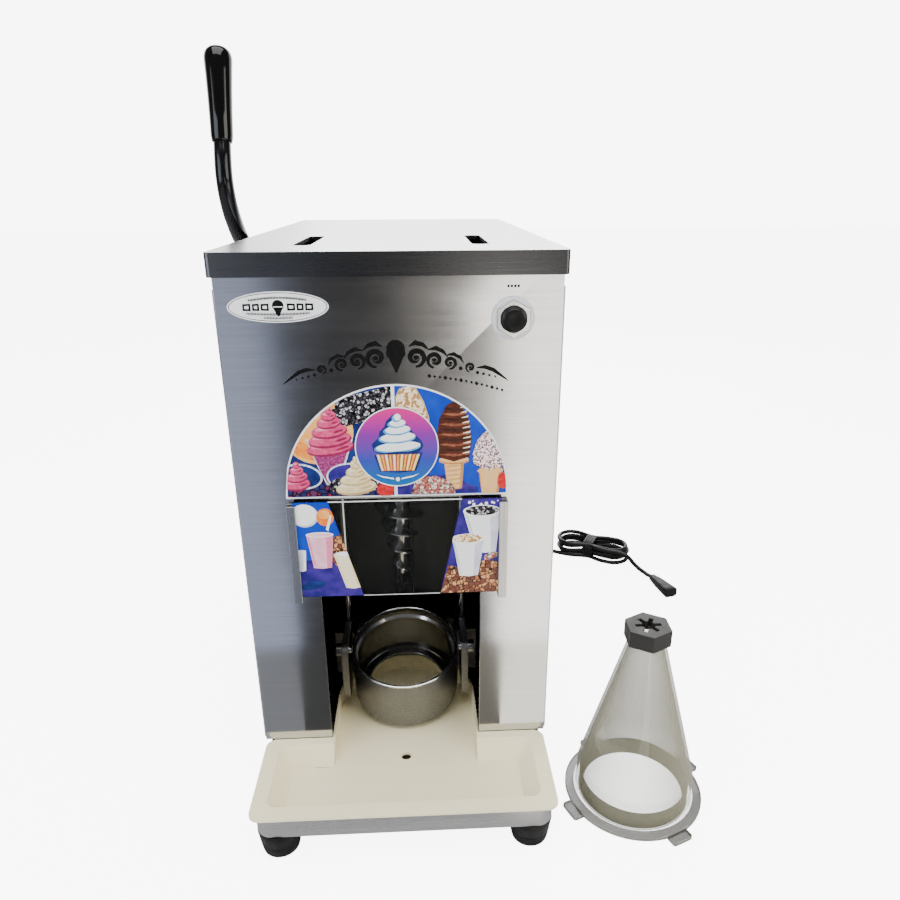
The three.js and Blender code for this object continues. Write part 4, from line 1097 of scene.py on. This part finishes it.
# ---- Curved ornament
# A cut black film bowed over the arch: a scoop in the middle, then scrolls, leaves and dots that get
# smaller to both sides, with a row of small diamonds below on the right.
black_film = ink("black_film", (0.001, 0.001, 0.001), (0.003, 0.003, 0.003), 200, 0.4)
BOW_RADIUS, BOW_TOP = 376.0, 507.0


def on_bow(s, lift):
    """A point by its way along the bow from the middle and its height above it."""
    angle = s / BOW_RADIUS
    return (3 + (BOW_RADIUS + lift) * math.sin(angle),
            BOW_TOP - BOW_RADIUS + (BOW_RADIUS + lift) * math.cos(angle))


def stroke(card, path, widths, film):
    """A line along the bow that swells and thins."""
    left, right = [], []
    for i, (s, lift) in enumerate(path):
        before, after = path[max(i - 1, 0)], path[min(i + 1, len(path) - 1)]
        run = Vector((after[0] - before[0], after[1] - before[1])).normalized()
        half = widths[i] / 2
        left.append(on_bow(s - run.y * half, lift + run.x * half))
        right.append(on_bow(s + run.y * half, lift - run.x * half))
    card.shape(left + right[::-1], film)


def scroll(card, s, lift, size, hand, turns=1.35):
    """A curl that tightens round a dot."""
    path, widths = [], []
    for step in range(34):
        share = step / 33
        angle = math.radians(-90) + hand * 2 * math.pi * turns * share
        radius = size * (1 - 0.72 * share) / 2
        path.append((s + radius * math.cos(angle), lift + radius * math.sin(angle)))
        widths.append(size * (0.05 + 0.24 * math.sin(math.pi * min(1, share * 1.15 + 0.05)) ** 0.8))
    stroke(card, path, widths, black_film)
    card.shape([on_bow(s + size * 0.13 * math.cos(a * math.pi / 8),
                       lift + size * 0.13 * math.sin(a * math.pi / 8))
                for a in range(16)], black_film)


def leaf(card, path, width):
    count = len(path) - 1
    stroke(card, path, [width * (0.12 + math.sin(math.pi * (i / count) ** 0.75)) for i in range(count + 1)],
           black_film)


def spot(card, s, lift, radius):
    card.shape([on_bow(s + radius * math.cos(a * math.pi / 10), lift + radius * math.sin(a * math.pi / 10))
                for a in range(20)], black_film)


ornament = Print(0.0)
spot(ornament, 0, 17.5, 8.6)
spot(ornament, -4.2, 13.2, 5.0)
spot(ornament, 4.2, 13.2, 5.0)
ornament.shape([on_bow(-7.2, 9.6), on_bow(7.2, 9.6), on_bow(0.8, -6), on_bow(-0.8, -6)], black_film)
for hand in (-1, 1):
    scroll(ornament, hand * 19, 9, 18, hand)
    leaf(ornament, [(hand * s, lift) for s, lift in ((12, 20), (18, 23.5), (25, 22), (31, 17))], 4.6)
    scroll(ornament, hand * 37, 7.6, 15, -hand)
    leaf(ornament, [(hand * s, lift) for s, lift in ((30, 17.5), (37, 19.5), (44, 17), (49, 12))], 4.0)
    scroll(ornament, hand * 52, 6.4, 12, hand)
    leaf(ornament, [(hand * s, lift) for s, lift in ((47, 13.5), (54, 15.6), (61, 13), (65, 8))], 3.4)
    spot(ornament, hand * 63, 2.6, 1.9)
    scroll(ornament, hand * 72, 5, 9, -hand)
    leaf(ornament, [(hand * s, lift) for s, lift in ((78, 6), (86, 8.2), (94, 7.4), (103, 4), (112, 0.6))],
         3.6)
    for s, radius in ((80, 1.5), (86, 1.3), (92, 1.1), (98, 0.9)):
        spot(ornament, hand * s, 1.2, radius)
for step in range(15):
    s, drop = 33 + 5.4 * step, -8.6 - 0.11 * step
    half = 1.5 if step % 3 else 2.1
    ornament.shape([on_bow(s - half, drop), on_bow(s, drop + half), on_bow(s + half, drop),
                    on_bow(s, drop - half)],
                   black_film)
ornament.finish("bowed_ornament", "cabinet")


# ---- Oval plate
# A white oval film at the top left with a black rim line and a plain picture of a scoop between bars.
OVAL_X, OVAL_Z = -106, 565.5
plate = Print(0.0)
plate.shape(oval(OVAL_X, OVAL_Z, 47.5, 14.6, count=80), white_ink, 0.25)
plate.shape(oval(OVAL_X, OVAL_Z, 46.2, 13.5, count=80), black_film)
plate.shape(oval(OVAL_X, OVAL_Z, 45.4, 12.8, count=80), white_ink)
plate.shape(oval(OVAL_X, 567, 5.4, 5.2), black_film)
plate.shape([(-111, 565.6), (-101, 565.6), (-105.2, 557), (-106.8, 557)], black_film)
plate.shape([(-110.2, 566.2), (-101.8, 566.2), (-101.8, 565.3), (-110.2, 565.3)], white_ink)
for side in (-1, 1):
    for start_x, length in ((8.5, 7.5), (17.5, 6.5), (25.5, 7.5)):
        inner, outer = OVAL_X + side * start_x, OVAL_X + side * (start_x + length)
        plate.shape([(inner, 568.9), (outer, 568.6), (outer, 562.4), (inner, 562.1)], black_film)
        plate.shape([(inner + side * 1.8, 567), (outer - side * 1.8, 566.8), (outer - side * 1.8, 564.2),
                     (inner + side * 1.8, 564)], white_ink)
TICK_PITCH = 1.35
for z, reach, bow in ((574.2, 27, 0.0030), (559.0, 30, -0.0012), (555.4, 14, -0.0030)):
    for tick in range(int(reach / TICK_PITCH)):
        for side in (-1, 1):
            x = side * (TICK_PITCH * tick + 0.7)
            foot, top = z - bow * x * x - 0.9, z - bow * x * x + 0.75 + 0.2 * (tick % 2)
            left, right = OVAL_X + x - 0.45, OVAL_X + x + 0.4
            plate.shape([(left, foot), (right, foot), (right, top), (left, top)], black_film)
plate.finish("oval_plate", "cabinet")


# ---- Printed corners of the guard
# Film on the guard's outer face: a blue corner with shakes on the left, a violet one with topped cups
# on the right, leaving the clear window between them.
def window_edge(z, side):
    """Where the clear window's slanting edge stands at a height."""
    share = (guard_high.z / MM - z) / (guard_high.z / MM - guard_low.z / MM)
    return -72 + 32 * share if side < 0 else 67 - 24 * share


def paper_cup(card, cx, top, bottom, half_top, half_bottom, body, shade, shift=0.0):
    """A leaning paper cup with a shaded strip down each side."""
    foot = cx + shift
    card.shape(taper(cx, top, bottom, half_top, half_bottom, shift), body)
    card.shape([(cx + half_top * 0.45, top - 1), (cx + half_top * 0.96, top - 1),
                (foot + half_bottom * 0.96, bottom), (foot + half_bottom * 0.5, bottom - 0.6)], shade)
    card.shape([(cx - half_top * 0.93, top - 2), (cx - half_top * 0.78, top - 2),
                (foot - half_bottom * 0.76, bottom + 2), (foot - half_bottom * 0.92, bottom + 2)], shade)


guard_low, guard_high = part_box("splash_guard")


def keep_left(x, z):
    z = min(max(z, 256), 367)
    return max(min(x, window_edge(z, -1)), -108.5), z


def keep_right(x, z):
    z = min(max(z, 256), 367)
    return min(max(x, window_edge(z, 1)), 108.5), z


left_corner = Print(-5.0, keep_left)
left_corner.shape([(-108.5, 256), (-40.3, 256), (-72, 367), (-108.5, 367)], violet_ink, 0.2)
left_corner.shape([(-108.5, 300), (-54, 300), (-72, 367), (-108.5, 367)], blue_ink)
left_corner.shape([(-84, 320), (-60, 330), (-46, 280), (-44, 268), (-66, 290)], whole_nuts)
left_corner.shape(oval(-97, 352, 14, 13), cup_shade)
left_corner.shape(oval(-98, 353, 13, 12), white_ink)
left_corner.shape(oval(-76, 350, 9, 10), orange_ink)
left_corner.shape(oval(-77, 353, 6, 5), peach_ink)
paper_cup(left_corner, -104, 312, 288, 5.5, 4, cup_shade, white_ink)
left_corner.shape([(-76, 336), (-71, 352), (-69, 352), (-73.5, 334)], white_ink)
paper_cup(left_corner, -83, 330, 291, 14, 9.5, shake_pink, pink_light, 1)
left_corner.shape(oval(-83, 330, 14.4, 3), white_ink)
left_corner.shape(oval(-83, 330, 12.8, 2), shake_pink)
paper_cup(left_corner, -58, 307, 266, 12, 8.5, cream_light, cream_mid, 8)
left_corner.shape(oval(-57, 307, 11, 2.6), white_ink)
left_corner.shape(oval(-94, 270, 14, 5, 0.2), navy_ink)
left_corner.finish("guard_left_art", "guard")

right_corner = Print(-5.0, keep_right)
right_corner.shape([(43.3, 256), (108.5, 256), (108.5, 367), (67, 367)], violet_ink, 0.2)
right_corner.shape([(43.3, 256), (108.5, 256), (108.5, 292), (92, 296), (74, 284), (52, 290)], whole_nuts)
for step in range(14):
    random.seed(step)
    x, z, size = random.uniform(70, 106), random.uniform(352, 365), random.uniform(0.8, 2)
    right_corner.shape(oval(x, z, size, count=10), white_ink)
paper_cup(right_corner, 88, 352, 305, 19.5, 11, white_ink, cup_shade, 4)
right_corner.shape(oval(88, 353, 20, 7), white_ink)
right_corner.shape(oval(88, 353.5, 17.5, 5.6), black_berries)
paper_cup(right_corner, 73, 320, 277, 17.5, 10, white_ink, cup_shade, 1)
right_corner.shape(oval(73, 321, 18, 6), white_ink)
right_corner.shape(oval(73, 321.6, 15.6, 4.8), chopped_nuts)
right_corner.shape(oval(98, 300, 8, 4, 0.4), choc_nuts)
right_corner.finish("guard_right_art", "guard")

edge_film = bmesh.new()
for x0, x1, z0, z1 in ((-72, 67, 366.4, 367.4), (-40, 43, 255.6, 256.2)):
    skin(edge_film, [ring_of_points(edge_film, [at(x0, y, z0), at(x1, y, z0), at(x1, y, z1), at(x0, y, z1)])
                     for y in (-4.95, -5.2)])
make("guard_edge_lines", edge_film, "guard", white_ink, slot="white_label")


# ---- Start button
# A push switch through the panel: white ring label, plated hexagon nut and a soft black boot.
finish_node("switch_plate", moulded("ring_label", (0.8, 0.81, 0.82), 0.25, 0.4, 60, 0.1), 0.2)
finish_node("switch_nut", brushed("plated_nut", (0.7, 0.7, 0.7), ALONG_X, 0.12, 0.3, 0.3), 0.5)
START_PLACE = (116.5, 0, 552.5)
ring_print = bmesh.new()
turned(ring_print, [(20.1, 1.15), (20.1, 1.28), (20.6, 1.28), (20.6, 1.15), (20.1, 1.15)], START_PLACE, "Y",
       96)
for vertex in ring_print.verts:
    vertex.co.y = 2 * at(0, 0, 0).y - vertex.co.y
make("label_ring_line", ring_print, "cabinet", cup_shade, slot="white_label")
boot_rubber = moulded("soft_boot_rubber", (0.004, 0.004, 0.004), 0.3, 0.5, 120, tooth=0.15)
button_profile = [(0, 0.5), (6.8, 0.5), (6.8, 5.8), (12.2, 5.8), (12.5, 6.4), (12.3, 7.4), (11.4, 8),
                  (11.6, 8.8),
                  (11.3, 12.2), (10.4, 13.4), (9, 13.95), (5, 13.6), (3.5, 13.2), (0, 13.1)]
button_mesh = turned(bmesh.new(), [(radius, -height) for radius, height in button_profile], START_PLACE, "Y",
                     64)
make("start_boot", button_mesh, "button", boot_rubber, replaces=("start_button",), slot="black_rubber")
mark = Print(0.0)
MARK_PITCH, MARK_WIDTH = 3.2, 2.1
for step in range(4):
    x = 110.5 + MARK_PITCH * step
    mark.shape([(x, 581.5), (x + MARK_WIDTH, 581.5), (x + MARK_WIDTH, 584), (x, 583.6)], black_film, 0.12)
mark.finish("button_mark", "cabinet")


# ---- Lever
# A bent steel rod in glossy black enamel with a turned black grip pushed on its end,
# clamped in a round hub on the shaft that comes through the left side.
LEVER_X = -186.5
grip_plastic = moulded("glossy_grip", (0.002, 0.002, 0.002), 0.05, 0.12, 25, tooth=0.01, gloss=0.35)
rod_enamel = moulded("black_enamel", (0.002, 0.002, 0.003), 0.08, 0.22, 45, tooth=0.03, gloss=0.35)
grip_profile = [(0, 1.0), (9.7, 1.0), (9.8, 0.1), (10.4, 0), (11.0, 0.6), (11.3, 1.6), (11.4, 3), (11.9, 5),
                (12.6, 30), (13.4, 52), (14.4, 72), (15.2, 85), (15.1, 88.5), (14.4, 92), (12.6, 95.2),
                (9.6, 97.6),
                (6, 98.7), (3, 99), (0, 99)]
grip_mesh = turned(bmesh.new(), grip_profile, (0, 0, 0), segments=96)
GRIP_LEAN = -math.atan2(24.7, 95)
grip_place = (Matrix.Translation(at(LEVER_X, 194.9, 717)) @ Matrix.Rotation(GRIP_LEAN, 4, "X")
              @ Matrix.Translation(-at(0, 0, 0)))
bmesh.ops.transform(grip_mesh, matrix=grip_place, verts=grip_mesh.verts)
make("grip", grip_mesh, "lever", grip_plastic, sharp=40, replaces=("lever_grip",), slot="black_plastic")
rod_route = [(LEVER_X, y, z) for y, z in (
    (320, 540.5), (281, 575), (245, 607), (217, 628), (196, 651), (186.4, 678), (188.6, 697), (195.5, 719.5),
    (200.3, 738))]
ROD_RADIUS = 9.5
bent_rod = spline_piece("bent_rod", rod_route, ROD_RADIUS, rod_enamel, "lever", ("lever_rod",))
finish_node("lever_hub", rod_enamel, 1.5, 3)
